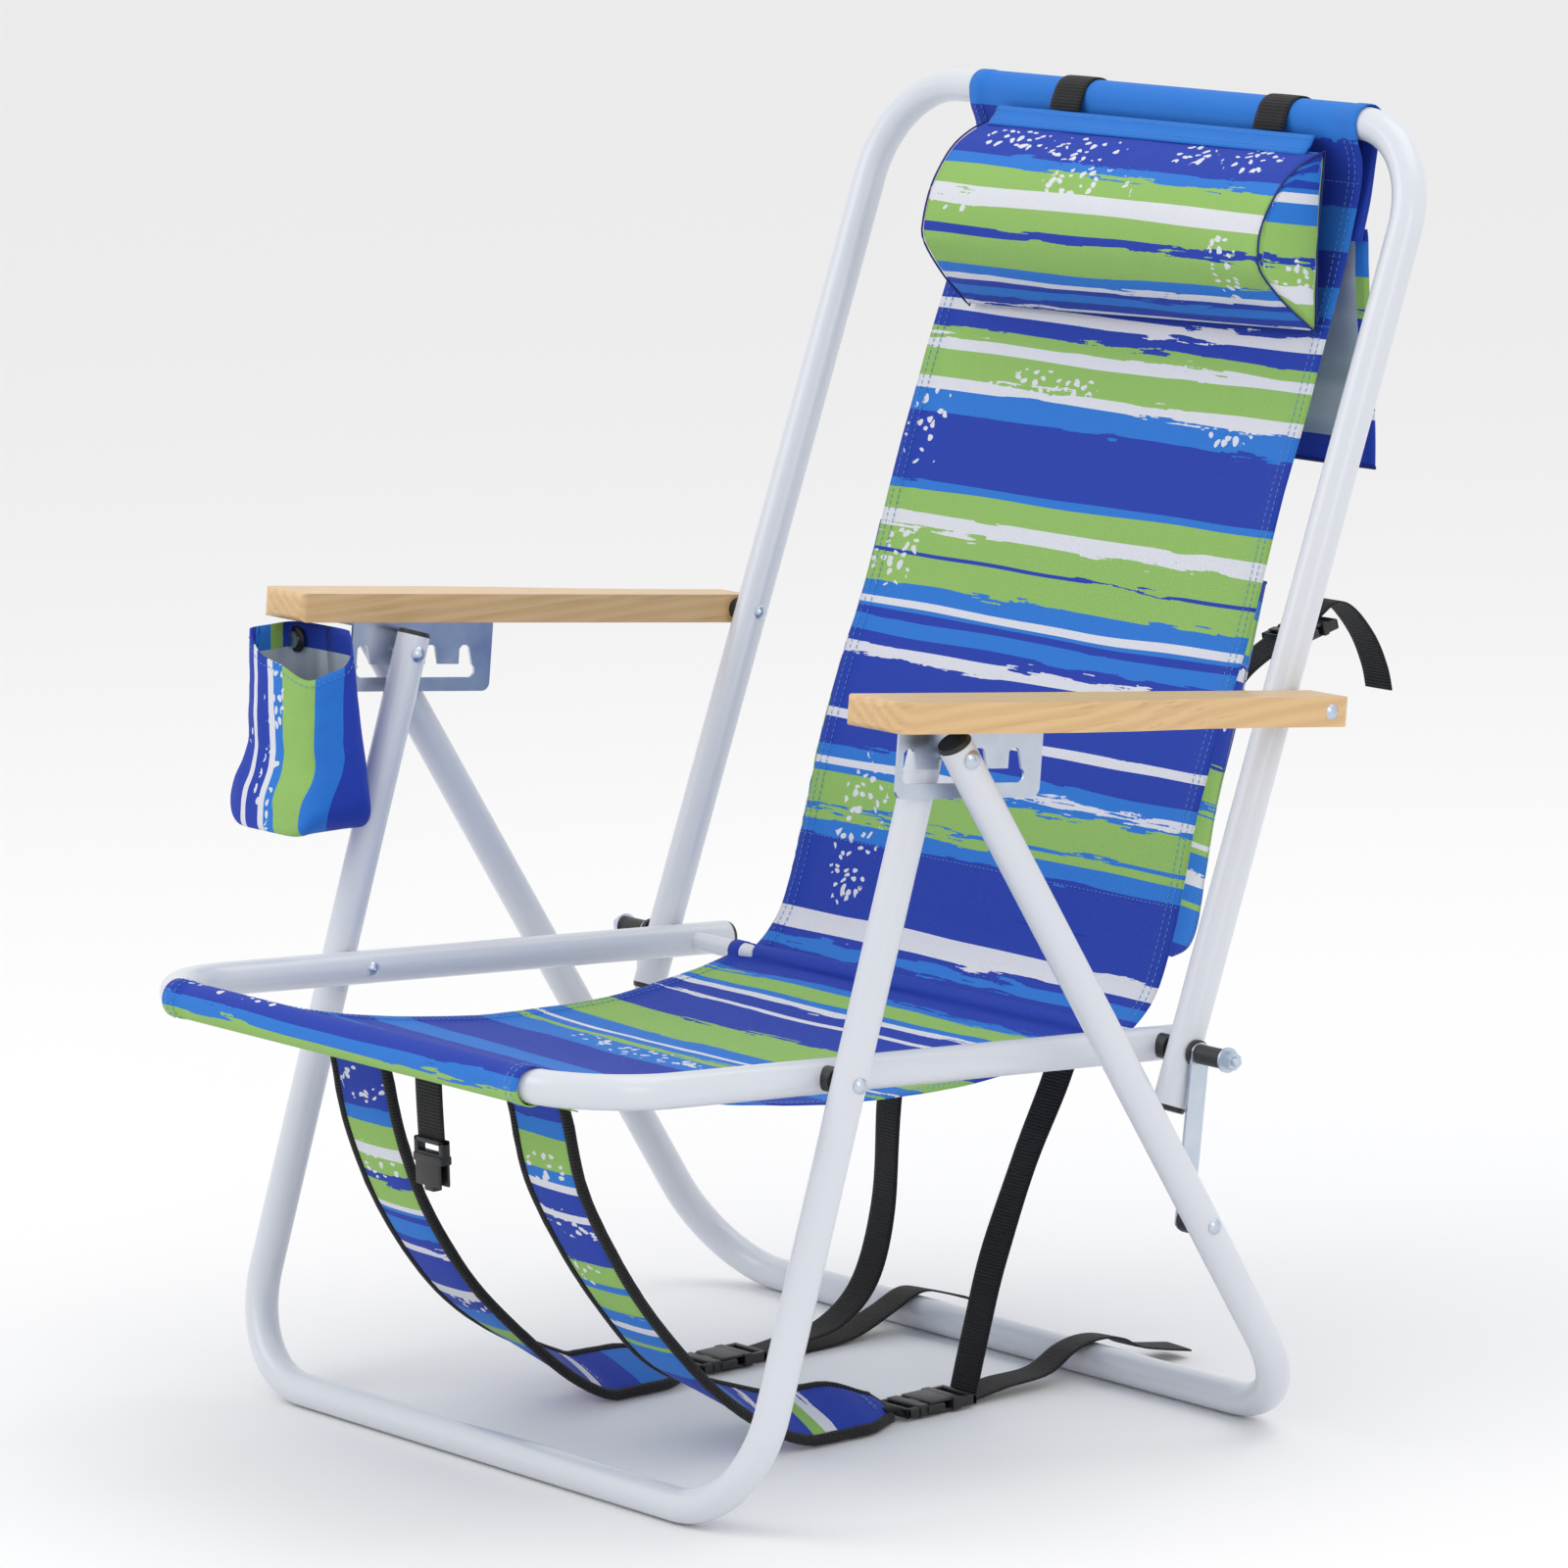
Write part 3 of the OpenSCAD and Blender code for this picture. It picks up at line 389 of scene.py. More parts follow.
print_pillow = printed_cloth("pillow_print", bands(
    "S4 B38 S9 L14 W13 L15 B6 L23 S10 W5 B6 S10 B9 W5 B60"), 0, [
    (-92, 24, 34, 11), (-18, 27, 36, 13), (10, 60, 44, 16), (84, 22, 20, 11), (142, 22, 26, 15),
    (152, 108, 14, 30), (-120, 78, 22, 8),
], seed=9.0)
print_pillow_end = printed_cloth("pillow_end_print", bands(
    "B24 S5 B6 S7 B5 S3 W6 S13 L22 B6 L15 W12 L30"), 0, [
    (320, 108, 24, 14),
], seed=10.0)
print_pouch = printed_cloth("pouch_print", bands(
    "B12 S12 L22 S9 B3 W8 B16 W4 B38 L21 S8 L20 W3 L3 S13 W8 S10 L5 S22 B40"), 0, [
    (10, 76, 40, 22), (120, 70, 40, 18), (-90, 74, 50, 16),
], seed=13.0)
print_flap = printed_cloth("flap_print", bands(
    "B30 W7 B22 W7 B30 L26 S24 B60"), 0, [
    (60, 90, 40, 12),
], seed=17.0)
print_cup = printed_cloth("cup_print", bands(
    "B80 L12 S12 B22 W5 B13 W6 S11 L25 S24 B120"), 0, [
    (30, 148, 34, 10), (95, 150, 30, 10), (70, 124, 18, 8),
], seed=21.0)
print_far = printed_cloth("far_strap_print", bands(
    "B45 S10 L17 W9 L12 B7 L17 W4 S4 B4 S14 B8 W6 B30 W10 B14 S20 L14 S12 B50 W10 B30 S40"), 0, [
    (0, 30, 22, 12), (-4, 84, 24, 14), (6, 200, 18, 12),
], seed=25.0)
print_near = printed_cloth("near_strap_print", bands(
    "B22 S14 L22 S9 W6 B15 W7 B34 L18 S6 L18 S12 W6 S12 L5 S26 B30 S22 B12 W6 B34 L10 W8 B40"), 0, [
    (0, 62, 26, 14), (6, 98, 22, 12), (-6, 140, 20, 10),
], seed=29.0)

GREY, WEB, BLACK, ZINC = lining(), webbing_cloth(), moulded_black(), zinc_plate()
COAT, WOOD, STITCH, NAVY = powder_coat(), varnished_wood(), thread(), navy_binding()


# ---------------------------------------------------------------- mesh helpers
def smooth_path(points, steps=6):
    """A smooth line through points, given as equal-length tuples."""
    path = []
    last = len(points) - 1
    for i in range(last):
        a, b, c, d = (points[max(0, min(last, k))] for k in (i - 1, i, i + 1, i + 2))
        for k in range(steps):
            t = k / steps
            path.append(tuple(
                0.5 * (2 * q + (r - p) * t + (2 * p - 5 * q + 4 * r - s) * t * t
                       + (3 * q - p - 3 * r + s) * t ** 3)
                for p, q, r, s in zip(a, b, c, d)
            ))
    path.append(tuple(points[-1]))
    return path


def lengths(points):
    """Running length along a list of points."""
    total = [0.0]
    for a, b in zip(points, points[1:]):
        total.append(total[-1] + math.dist(a, b))
    return total


def arc(centre, radius, start, end, steps):
    """Side-view points round a centre, angles in degrees."""
    angles = [math.radians(start + (end - start) * k / steps) for k in range(steps + 1)]
    return [(centre[0] + radius * math.cos(a), centre[1] + radius * math.sin(a)) for a in angles]


def ease(value, low, high):
    """Smooth step from 0 at low to 1 at high."""
    t = min(max((value - low) / (high - low), 0.0), 1.0)
    return t * t * (3 - 2 * t)


def ripple(x, y, z, scale, seed=0.0):
    """Smooth noise from -1 to 1 at a point in mm."""
    return noise.noise(Vector((x * scale, y * scale, z * scale + seed)))


def path_normals(path):
    out = []
    for i in range(len(path)):
        a, b = path[max(i - 1, 0)], path[min(i + 1, len(path) - 1)]
        size = math.hypot(b[0] - a[0], b[1] - a[1]) or 1
        out.append((-(b[1] - a[1]) / size, (b[0] - a[0]) / size))
    return out


def row_at(values, target, start=0):
    """Number of the value nearest to target, from start on."""
    return min(range(start, len(values)), key=lambda k: abs(values[k] - target))


def quads(rows, columns, closed=False):
    """Faces of a grid of points; closed joins the last column to the first."""
    return [
        (r * columns + c, r * columns + (c + 1) % columns,
         (r + 1) * columns + (c + 1) % columns, (r + 1) * columns + c)
        for r in range(rows - 1) for c in range(columns if closed else columns - 1)
    ]


def mesh_object(name, verts, faces, uvs, materials, body):
    """A piece on a body. Its UVs are places on the cloth in metres, or None."""
    mesh = bpy.data.meshes.new(name)
    mesh.from_pydata([tuple(v) for v in verts], [], faces)
    layer = mesh.uv_layers.new(name="cloth")
    for loop in mesh.loops:
        layer.data[loop.index].uv = uvs[loop.vertex_index] if uvs else (0, 0)
    obj = bpy.data.objects.new(name, mesh)
    bpy.context.scene.collection.objects.link(obj)
    for material in materials if isinstance(materials, list) else [materials]:
        mesh.materials.append(material)
    mesh.shade_smooth()
    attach(obj, body)
    return obj


def flat(rows):
    return [item for row in rows for item in row]


def sheet_grid(name, rows, uv_rows, materials, body, thickness=0.9):
    """A sheet of cloth from rows of points, thickened."""
    obj = mesh_object(name, flat(rows), quads(len(rows), len(rows[0])), flat(uv_rows), materials, body)
    thicken = obj.modifiers.new("thickness", "SOLIDIFY")
    thicken.thickness = thickness * MM
    thicken.offset = 0.0
    return obj


def tidy_normals(obj):
    work = bmesh.new()
    work.from_mesh(obj.data)
    bmesh.ops.recalc_face_normals(work, faces=work.faces)
    work.to_mesh(obj.data)
    work.free()


def loft(name, rings, uv_rings, material, body):
    """A closed skin over rings of points, with both ends capped."""
    count = len(rings[0])
    faces = quads(len(rings), count, closed=True)
    faces.append(tuple(reversed(range(count))))
    faces.append(tuple((len(rings) - 1) * count + c for c in range(count)))
    obj = mesh_object(name, flat(rings), faces, uv_rings and flat(uv_rings), material, body)
    tidy_normals(obj)
    return obj


def tube_along(name, line, radius, material, body, sides=8, closed=False):
    """A thin round piping along 3-D points."""
    rings = []
    for i, p in enumerate(line):
        before = line[i - 1] if i or closed else line[i]
        after = line[(i + 1) % len(line)] if i + 1 < len(line) or closed else line[i]
        along = (after - before).normalized()
        helper = Vector((0, 0, 1)) if abs(along.z) < 0.9 else Vector((1, 0, 0))
        side = along.cross(helper).normalized()
        other = along.cross(side)
        angles = [2 * math.pi * k / sides for k in range(sides)]
        rings.append([p + (side * math.cos(a) + other * math.sin(a)) * radius * MM for a in angles])
    faces = quads(len(rings), sides, closed=True)
    if closed:
        base = (len(rings) - 1) * sides
        faces += [(base + c, base + (c + 1) % sides, (c + 1) % sides, c) for c in range(sides)]
    obj = mesh_object(name, flat(rings), faces, None, material, body)
    tidy_normals(obj)
    return obj


def strap_section(width, edge, middle, count=10):
    """Flat rounded section: list of (across, through) in mm."""
    top = []
    for k in range(count + 1):
        s = -1 + 2 * k / count
        top.append((s * width / 2, edge / 2 + (middle - edge) / 2 * (1 - abs(s) ** 3)))
    return top + [(a, -b) for a, b in reversed(top)]


def ribbon(name, path, x, section, body, leans=None):
    """A black webbing along a side-view path, centred on x, leaning over by leans degrees."""
    run, normals = lengths(path), path_normals(path)
    rings, uv_rings = [], []
    for i, (y, z) in enumerate(path):
        lean = math.radians(leans[i]) if leans else 0.0
        ring = []
        for across, through in section:
            side = across * math.cos(lean) - through * math.sin(lean)
            lift = across * math.sin(lean) + through * math.cos(lean)
            ring.append(at(x + side, y + normals[i][0] * lift, z + normals[i][1] * lift))
        rings.append(ring)
        uv_rings.append([(across * MM, run[i] * MM) for across, _ in section])
    return loft(name, rings, uv_rings, WEB, body)


BOX_FACES = ((3, 2, 1, 0), (4, 5, 6, 7), (0, 1, 5, 4), (1, 2, 6, 5), (2, 3, 7, 6), (3, 0, 4, 7))


def stitches(name, line, normals, body, pitch=4.2, dash=2.8, thick=0.42):
    """Sewn dashes along a line of 3-D points; normals says which way is out."""
    run = lengths([tuple(p) for p in line])
    verts, faces = [], []

    def spot(distance):
        i = next((i for i in range(len(run) - 1) if run[i + 1] >= distance), len(run) - 2)
        t = (distance - run[i]) / max(run[i + 1] - run[i], 1e-9)
        return line[i].lerp(line[i + 1], t), normals[i].lerp(normals[i + 1], t).normalized()

    distance = 0.0
    while distance + dash * MM < run[-1]:
        p, n = spot(distance)
        q, _ = spot(distance + dash * MM)
        along = (q - p).normalized()
        side = along.cross(n).normalized() * thick * MM / 2
        top = (p + q) / 2 + n * thick * MM * 0.75
        reach = along * dash * MM * 0.3
        faces += [tuple(len(verts) + k for k in face) for face in BOX_FACES]
        verts += [p - side, p + side, q + side, q - side]
        verts += [top + side * s * 0.8 + reach * e for s, e in ((-1, -1), (1, -1), (1, 1), (-1, 1))]
        distance += pitch * MM
    return mesh_object(name, verts, faces, None, STITCH, body)


HEM = 11.0
INNER_COLUMNS = 26


def cloth_sheet(name, path, places, half, shift, material, body, seed, wave=1.2, sag=0.0,
                sag_range=None, flip=1, still=0):
    """Cloth across the chair along a side-view path. places is the print coordinate at each
    point; shift(i) moves a row sideways; sag drops the middle; hems are a little thicker."""
    normals = [(flip * a, flip * b) for a, b in path_normals(path)]
    inside = half - HEM - 0.6
    columns = [-half, -half + HEM * 0.5, -half + HEM]
    columns += [-inside + 2 * inside * k / INNER_COLUMNS for k in range(INNER_COLUMNS + 1)]
    columns += [half - HEM, half - HEM * 0.5, half]
    rows, uv_rows = [], []
    for i, (y, z) in enumerate(path):
        calm = min(1.0, max(0.0, min(i - still, len(path) - 1 - i) / 6))
        calm_sag = calm
        if sag_range:
            t = (i - sag_range[0]) / (sag_range[1] - sag_range[0])
            calm_sag = math.sin(math.pi * min(max(t, 0), 1)) ** 0.8 if 0 <= t <= 1 else 0.0
        row = []
        for x in columns:
            out = 0.45 if abs(x) >= half - HEM - 0.1 else 0.0
            out -= sag * (1 - (x / half) ** 2) * calm_sag
            out += wave * calm * ripple(x, y, z, 0.014, seed)
            out += 0.35 * calm * ripple(x, y, z, 0.05, seed + 9)
            row.append(at(x + shift(i), y + normals[i][0] * out, z + normals[i][1] * out))
        rows.append(row)
        uv_rows.append([(x * MM, places[i] * MM) for x in columns])
    sheet = sheet_grid(name, rows, uv_rows, material, body)
    return SimpleNamespace(
        sheet=sheet, rows=rows, columns=columns, half=half, body=body,
        normals=[Vector((0, a, b)) for a, b in normals],
    )


def hem_stitches(name, cloth, first, last, inset):
    """Lines of stitches along both hems of a cloth_sheet."""
    outs = cloth.normals[first:last + 1]
    for label, side in (("right", -1), ("left", 1)):
        column = row_at(cloth.columns, side * (cloth.half - inset))
        line = [cloth.rows[i][column] + cloth.normals[i] * 0.95 * MM for i in range(first, last + 1)]
        stitches(f"{name}_{label}", line, outs, cloth.body)


def cross_stitch(name, cloth, row):
    """Stitches across a cloth_sheet along one of its rows."""
    out = cloth.normals[row]
    stitches(name, [p + out * 0.7 * MM for p in cloth.rows[row]], [out] * len(cloth.columns), cloth.body)


# ---------------------------------------------------------------- sling back
# In (u, d): up the rear of the sleeve, over the bar, down the front. On the bar, angle 0
# points behind it and 90 up past it.
CLOTH_R = 11.6
sleeve_rear = smooth_path([(530, 18.8), (556, 17), (580, 13), (597, 10.2)], 5)
over_bar = [(BACK_LEN + q, p) for p, q in arc((0, 0), CLOTH_R, -30, 210, 16)]
back_front = smooth_path([
    (597, -10), (590, -6), (580, 4), (566, 11), (545, 15.5), (500, 20), (440, 20.5), (380, 20),
    (306, 21.2), (260, 22), (200, 19.5), (150, 20), (100, 24), (60, 26.5), (34, 25.5), (16, 19), (3, 10.5),
], 4)
back_ud = sleeve_rear[:-1] + over_bar + back_front[1:]
back_path = [on_back(u, d) for u, d in back_ud]
back_run = lengths(back_path)
turn_index = len(sleeve_rear) - 1 + len(over_bar)
back_places = [BACK_LEN - u for u, _ in back_ud]
for i in range(turn_index + 2, -1, -1):
    back_places[i] = back_places[i + 1] - (back_run[i + 1] - back_run[i])


def back_shift(i):
    """The sling sits off centre: 17.5 mm along the bar, half that lower down."""
    return 17.5 - 8.75 * min(1.0, max(0.0, (i - turn_index - 2) / 18))


back_last = len(back_path) - 3
back = cloth_sheet(
    "sling_back", back_path, back_places, 193, back_shift, print_back, BACK, seed=1.0,
    wave=1.6, sag=2.5, sag_range=(turn_index + 4, back_last), flip=-1, still=turn_index + 1,
)
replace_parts(back.sheet, "back_cloth")
hem_stitches("back_hem_stitch", back, turn_index + 3, back_last, 11.5)
hem_stitches("back_edge_stitch", back, turn_index + 3, back_last, 3)
back_heights = [u for u, _ in back_ud]
cross_stitch("sleeve_seam", back, row_at(back_heights, 566, turn_index))
cross_stitch("pouch_bottom_seam", back, row_at(back_heights, 84, turn_index))

# ---------------------------------------------------------------- sling seat
SEAT_BAR = (-91.5, 285.7)
CROSS_R = 6.95
seat_start = (SEAT_BAR[0] + CLOTH_R * 0.34, SEAT_BAR[1] + CLOTH_R * 0.94)
seat_stop = (CROSS_TUBE[0] - CROSS_R * 0.95, CROSS_TUBE[1] - CROSS_R * 0.31)


def bezier(a, b, c, d, steps):
    out = []
    for k in range(steps + 1):
        t = k / steps
        w = ((1 - t) ** 3, 3 * t * (1 - t) ** 2, 3 * t * t * (1 - t), t ** 3)
        out.append(tuple(sum(f * p[i] for f, p in zip(w, (a, b, c, d))) for i in (0, 1)))
    return out


seat_curve = bezier(seat_start, (seat_start[0] + 118, seat_start[1] - 58),
                    (seat_stop[0] - 116, seat_stop[1] - 32), seat_stop, 44)
seat_wrap = arc(SEAT_BAR, CLOTH_R, 292, 74, 22)
cross_wrap = arc(CROSS_TUBE, CROSS_R, 190, 20, 12)
under_front = [(SEAT_BAR[0] + y, SEAT_BAR[1] - z) for y, z in ((34, 20), (20, 15.5), (9, 12.5))]
seat_path = under_front + seat_wrap[:-1] + seat_curve + cross_wrap[1:]
seat_run = lengths(seat_path)
curve_first = len(under_front) + len(seat_wrap) - 1
# The print starts at the highest point over the front bar
seat_zero = max(range(30), key=lambda k: seat_path[k][1])
seat = cloth_sheet(
    "sling_seat", seat_path, [place - seat_run[seat_zero] for place in seat_run], 189,
    lambda i: 0.0, print_seat, SEAT, seed=4.0, wave=1.5, sag=3.0, still=curve_first,
    sag_range=(curve_first + 2, curve_first + len(seat_curve) - 4),
)
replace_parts(seat.sheet, "seat_cloth")
seat_last = curve_first + len(seat_curve) - 3
hem_stitches("seat_hem_stitch", seat, 8, seat_last, 11.5)
hem_stitches("seat_edge_stitch", seat, 8, seat_last, 3)
cross_stitch("seat_sleeve_seam", seat, row_at([y for y, _ in seat_path], SEAT_BAR[0] + 24, curve_first))

# ---------------------------------------------------------------- pillow
PILLOW_LEAN = 12.4
PILLOW_X = (-145.0, 188.0)
PILLOW_LOW = 66
STATIONS, FRONT_STEPS, REAR_STEPS, CAP_RINGS = 66, 34, 16, 8
CAP_HEIGHT = 20
CAP_DOME = 2.5
chord_mid = on_back(524.5, 1.5)
lean = math.radians(BACK_DEGREES + PILLOW_LEAN)
chord_up = (math.cos(lean), math.sin(lean))
chord_out = (-math.sin(lean), math.cos(lean))
pillow_out = Vector((0, chord_out[0], chord_out[1]))


def on_pillow(x, a, b):
    """A point a up the pillow's chord and b out from it; its lower corners hang askew."""
    share = (x - PILLOW_X[0]) / (PILLOW_X[1] - PILLOW_X[0])
    low = max(0.0, -a / PILLOW_LOW)
    a += low * (7 * share - 3 * (1 - share))
    x += 9 * low * max(0.0, share - 0.5) * 2 - 4 * low * max(0.0, 0.5 - share) * 2
    return at(x, chord_mid[0] + a * chord_up[0] + b * chord_out[0],
              chord_mid[1] + a * chord_up[1] + b * chord_out[1])


def pillow_profile():
    """(a along the chord, b out from it) over the front, then along the flat rear."""
    outline = [(57, 0), (47, 19), (33, 34), (9, 46.5), (-13, 50), (-27, 47), (-46, 28), (-59, 10), (-66, 0)]
    fine = smooth_path(outline, 12)
    total = lengths(fine)
    profile = [fine[row_at(total, total[-1] * k / FRONT_STEPS)] for k in range(FRONT_STEPS + 1)]
    for k in range(1, REAR_STEPS):
        profile.append((-66 + 123 * k / REAR_STEPS, -math.sin(math.pi * k / REAR_STEPS)))
    return profile


def build_pillow(profile):
    around = lengths(profile)
    count = len(profile)
    verts, uvs = [], []
    for i in range(STATIONS + 1):
        x = PILLOW_X[0] + (PILLOW_X[1] - PILLOW_X[0]) * i / STATIONS
        verts += [on_pillow(x, a, b) for a, b in profile]
        uvs += [(x * MM, place * MM) for place in around]
    faces = quads(STATIONS + 1, count, closed=True)
    # End panels: rings shrinking to a middle point
    for end, x, out in ((0, PILLOW_X[0], -1), (STATIONS, PILLOW_X[1], 1)):
        panel = []
        previous = [end * count + c for c in range(count)]
        for ring in range(1, CAP_RINGS):
            scale = 1 - ring / CAP_RINGS
            dome = CAP_DOME * (1 - scale ** 2)
            current = [len(verts) + c for c in range(count)]
            for a, b in profile:
                height = CAP_HEIGHT + (b - CAP_HEIGHT) * scale
                verts.append(on_pillow(x + out * dome, a * scale, height))
                uvs.append((0.3 + height * MM, (66 - a * scale) * MM + 0.012))
            panel += [(previous[c - 1], previous[c], current[c], current[c - 1])
                      for c in [*range(1, count), 0]]
            previous = current
        panel += [(previous[c - 1], previous[c], len(verts)) for c in [*range(1, count), 0]]
        verts.append(on_pillow(x + out * CAP_DOME, 0, CAP_HEIGHT))
        uvs.append((0.3 + CAP_HEIGHT * MM, 0.078))
        faces += panel if out > 0 else [tuple(reversed(face)) for face in panel]
    obj = mesh_object("head_pillow", verts, faces, uvs, [print_pillow, print_pillow_end], BACK)
    for polygon in obj.data.polygons:
        if polygon.index >= STATIONS * count:
            polygon.material_index = 1
    tidy_normals(obj)
    return obj


def inflate(obj, pinned, pressure=4.0, frames=20, cap=6.0):
    """Cloth simulation with pressure; pinned vertices are the seams. Movement is capped."""
    rest = [v.co.copy() for v in obj.data.vertices]
    obj.vertex_groups.new(name="seams").add(sorted(pinned), 1.0, "REPLACE")
    cloth = obj.modifiers.new("cloth", "CLOTH")
    settings = cloth.settings
    settings.quality = 5
    settings.mass = 0.25
    settings.tension_stiffness = 18
    settings.compression_stiffness = 12
    settings.shear_stiffness = 8
    settings.bending_stiffness = 0.6
    settings.use_pressure = True
    settings.uniform_pressure_force = pressure
    settings.effector_weights.gravity = 0
    settings.vertex_group_mass = "seams"
    cloth.collision_settings.use_collision = False
    cloth.point_cache.frame_start = 1
    cloth.point_cache.frame_end = frames
    scene = bpy.context.scene
    for frame_number in range(1, frames + 1):
        scene.frame_set(frame_number)
    graph = bpy.context.evaluated_depsgraph_get()
    result = [v.co.copy() for v in obj.evaluated_get(graph).data.vertices]
    obj.modifiers.remove(cloth)
    scene.frame_set(1)
    for vertex, before, after in zip(obj.data.vertices, rest, result):
        move = after - before
        if move.length > cap * MM:
            move *= cap * MM / move.length
        vertex.co = before + move


pillow_section = pillow_profile()
pillow = build_pillow(pillow_section)
pinned = set()
for station in range(STATIONS + 1):
    whole = station in (0, STATIONS)
    pinned.update(station * len(pillow_section) + c for c in range(len(pillow_section))
                  if whole or c < 2 or c >= FRONT_STEPS - 1)
for vertex in pillow.data.vertices:
    x, y, z = (v / MM for v in vertex.co)
    if vertex.index not in pinned:
        edge = min(x - PILLOW_X[0], PILLOW_X[1] - x)
        pucker = math.exp(-max(edge, 0) / 24) * 2.8 * ripple(0, y, z, 0.085, 3.0)
        fold_line = 2.0 * ripple(x * 0.45, y, z, 0.032, 8.0) + 0.7 * ripple(x, y, z, 0.08, 5.0)
        vertex.co += pillow_out * (fold_line + pucker) * MM
inflate(pillow, pinned)
smoother = pillow.modifiers.new("smooth", "SUBSURF")
smoother.levels = smoother.render_levels = 1
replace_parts(pillow, "headrest_pillow")
for label, x in (("left", PILLOW_X[1]), ("right", PILLOW_X[0])):
    seam = [on_pillow(x, a, b) for a, b in pillow_section]
    tube_along(f"pillow_end_seam_{label}", seam, 0.7, NAVY, BACK, closed=True)

# Flat hem along the top of the pillow, with its two stitch lines
hem_rows, hem_uv = [], []
for k in range(7):
    a = 53 + 13 * k / 6
    base = 3.0 + 0.88 * math.sin(math.pi * k / 6) + 4.5 * max(0.0, (60 - a) / 7) - 0.25 * (a - 60)
    across = [-137 + 315 * c / 40 for c in range(41)]
    hem_rows.append([on_pillow(x, a, base + 0.8 * ripple(x, a, 0, 0.03, 2.0)) for x in across])
    hem_uv.append([(x * MM, 0.0005) for x in across])
sheet_grid("pillow_hem", hem_rows, hem_uv, print_pillow, BACK, 1.6)
for k, line_row in enumerate((2, 5)):
    line = [p + pillow_out * 1.1 * MM for p in hem_rows[line_row]]
    stitches(f"pillow_hem_stitch_{k}", line, [pillow_out] * len(line), BACK)

# Webbing loops from the pillow over the top bar
loop_path = [on_back(BACK_LEN + q, p) for p, q in arc((0, 0), 13.0, 20, 178, 16)]
loop_path += [on_back(596, -13.6), on_back(590, -13.2)]
loops = [
    ribbon(f"pillow_loop_{label}", loop_path, (x0 + x1) / 2, strap_section(x1 - x0, 1.1, 1.4, 8), BACK)
    for label, x0, x1 in (("left", 117, 146), ("right", -86, -56))
]
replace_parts(loops[0], "pillow_loops")


# ---------------------------------------------------------------- rear flap and pouch
def two_sided(obj, outer, facing, rim=0):
    """Two skins: the outer face printed and the reverse in the coated lining. facing is
    above 0 where the sheet's own normals point outward. Slots 2 and 3 are print on both."""
    obj.data.materials.clear()
    for material in ([outer, GREY] if facing > 0 else [GREY, outer]) + [outer, outer]:
        obj.data.materials.append(material)
    thicken = obj.modifiers["thickness"]
    thicken.material_offset = 1
    thicken.material_offset_rim = rim


def faces_toward(obj, outward):
    return sum(p.normal.dot(outward) for p in obj.data.polygons)


flap_path = smooth_path([(573.2, 747), (574.3, 737), (575.5, 700), (577.3, 650), (577.5, 593)], 8)
flap_run = lengths(flap_path)
flap = cloth_sheet(
    "rear_flap_sheet", flap_path, [flap_run[-1] - r for r in flap_run], 193, lambda i: 17.5,
    print_flap, BACK, seed=7.0, wave=2.0, still=5,
)
cross_stitch("flap_seam", flap, 3)
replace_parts(flap.sheet, "rear_flap")
two_sided(flap.sheet, print_flap, faces_toward(flap.sheet, Vector((0, 1, 0))))
flap_across = len(flap.columns) - 1
for polygon in flap.sheet.data.polygons:
    strip, column = divmod(polygon.index, flap_across)
    if column < 3 or column >= flap_across - 3 or strip >= len(flap.rows) - 4:
        polygon.material_index = 2
tube_along("flap_hem_edge", flap.rows[-1], 1.3, NAVY, BACK)

pouch_ud = smooth_path([
    (306, 36), (262, 39), (214, 42), (160, 46), (116, 52), (84, 56), (68, 53), (60, 42),
], 6)
pouch_path = [on_back(u, d) for u, d in pouch_ud]
pouch_run = lengths(pouch_path)
pouch = cloth_sheet("pouch_panel", pouch_path, pouch_run, 188, lambda i: 0.0, print_pouch, BACK,
                    seed=12.0, wave=2.2)
two_sided(pouch.sheet, print_pouch, faces_toward(pouch.sheet, Vector((0, 1, -0.4))))
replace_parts(pouch.sheet, "rear_pouch")


def cloth_depth(u):
    """How far behind the tube plane the sling back lies at u."""
    return min(back_front, key=lambda p: abs(p[0] - u))[1]


for label, outward in (("left", 1), ("right", -1)):
    rows, uv_rows = [], []
    for (u, d), place in zip(pouch_ud, pouch_run):
        near = cloth_depth(u) + 1.2
        row, uv_row = [], []
        for t in (0, 0.25, 0.5, 0.75, 1):
            bow = 1.2 * math.sin(math.pi * t)
            row.append(at((187.2 + bow) * outward, *on_back(u, near + (d - near) * t)))
            uv_row.append(((d - near) * t * MM, place * MM))
        rows.append(row)
        uv_rows.append(uv_row)
    gusset = sheet_grid(f"pouch_side_{label}", rows, uv_rows, print_pouch, BACK)
    two_sided(gusset, print_pouch, faces_toward(gusset, Vector((outward, 0, 0))))
bottom_rows, bottom_uv = [], []
bottom_across = [-187 + 374 * c / 20 for c in range(21)]
for k in range(4):
    y, z = on_back(60 - math.sin(math.pi * k / 3), 27.5 + 14.5 * k / 3)
    bottom_rows.append([at(x, y, z) for x in bottom_across])
    bottom_uv.append([(x * MM, (pouch_run[-1] + 5 * (3 - k)) * MM) for x in bottom_across])
sheet_grid("pouch_floor", bottom_rows, bottom_uv, print_pouch, BACK)
tube_along("pouch_top_hem", pouch.rows[0], 1.2, STITCH, BACK)

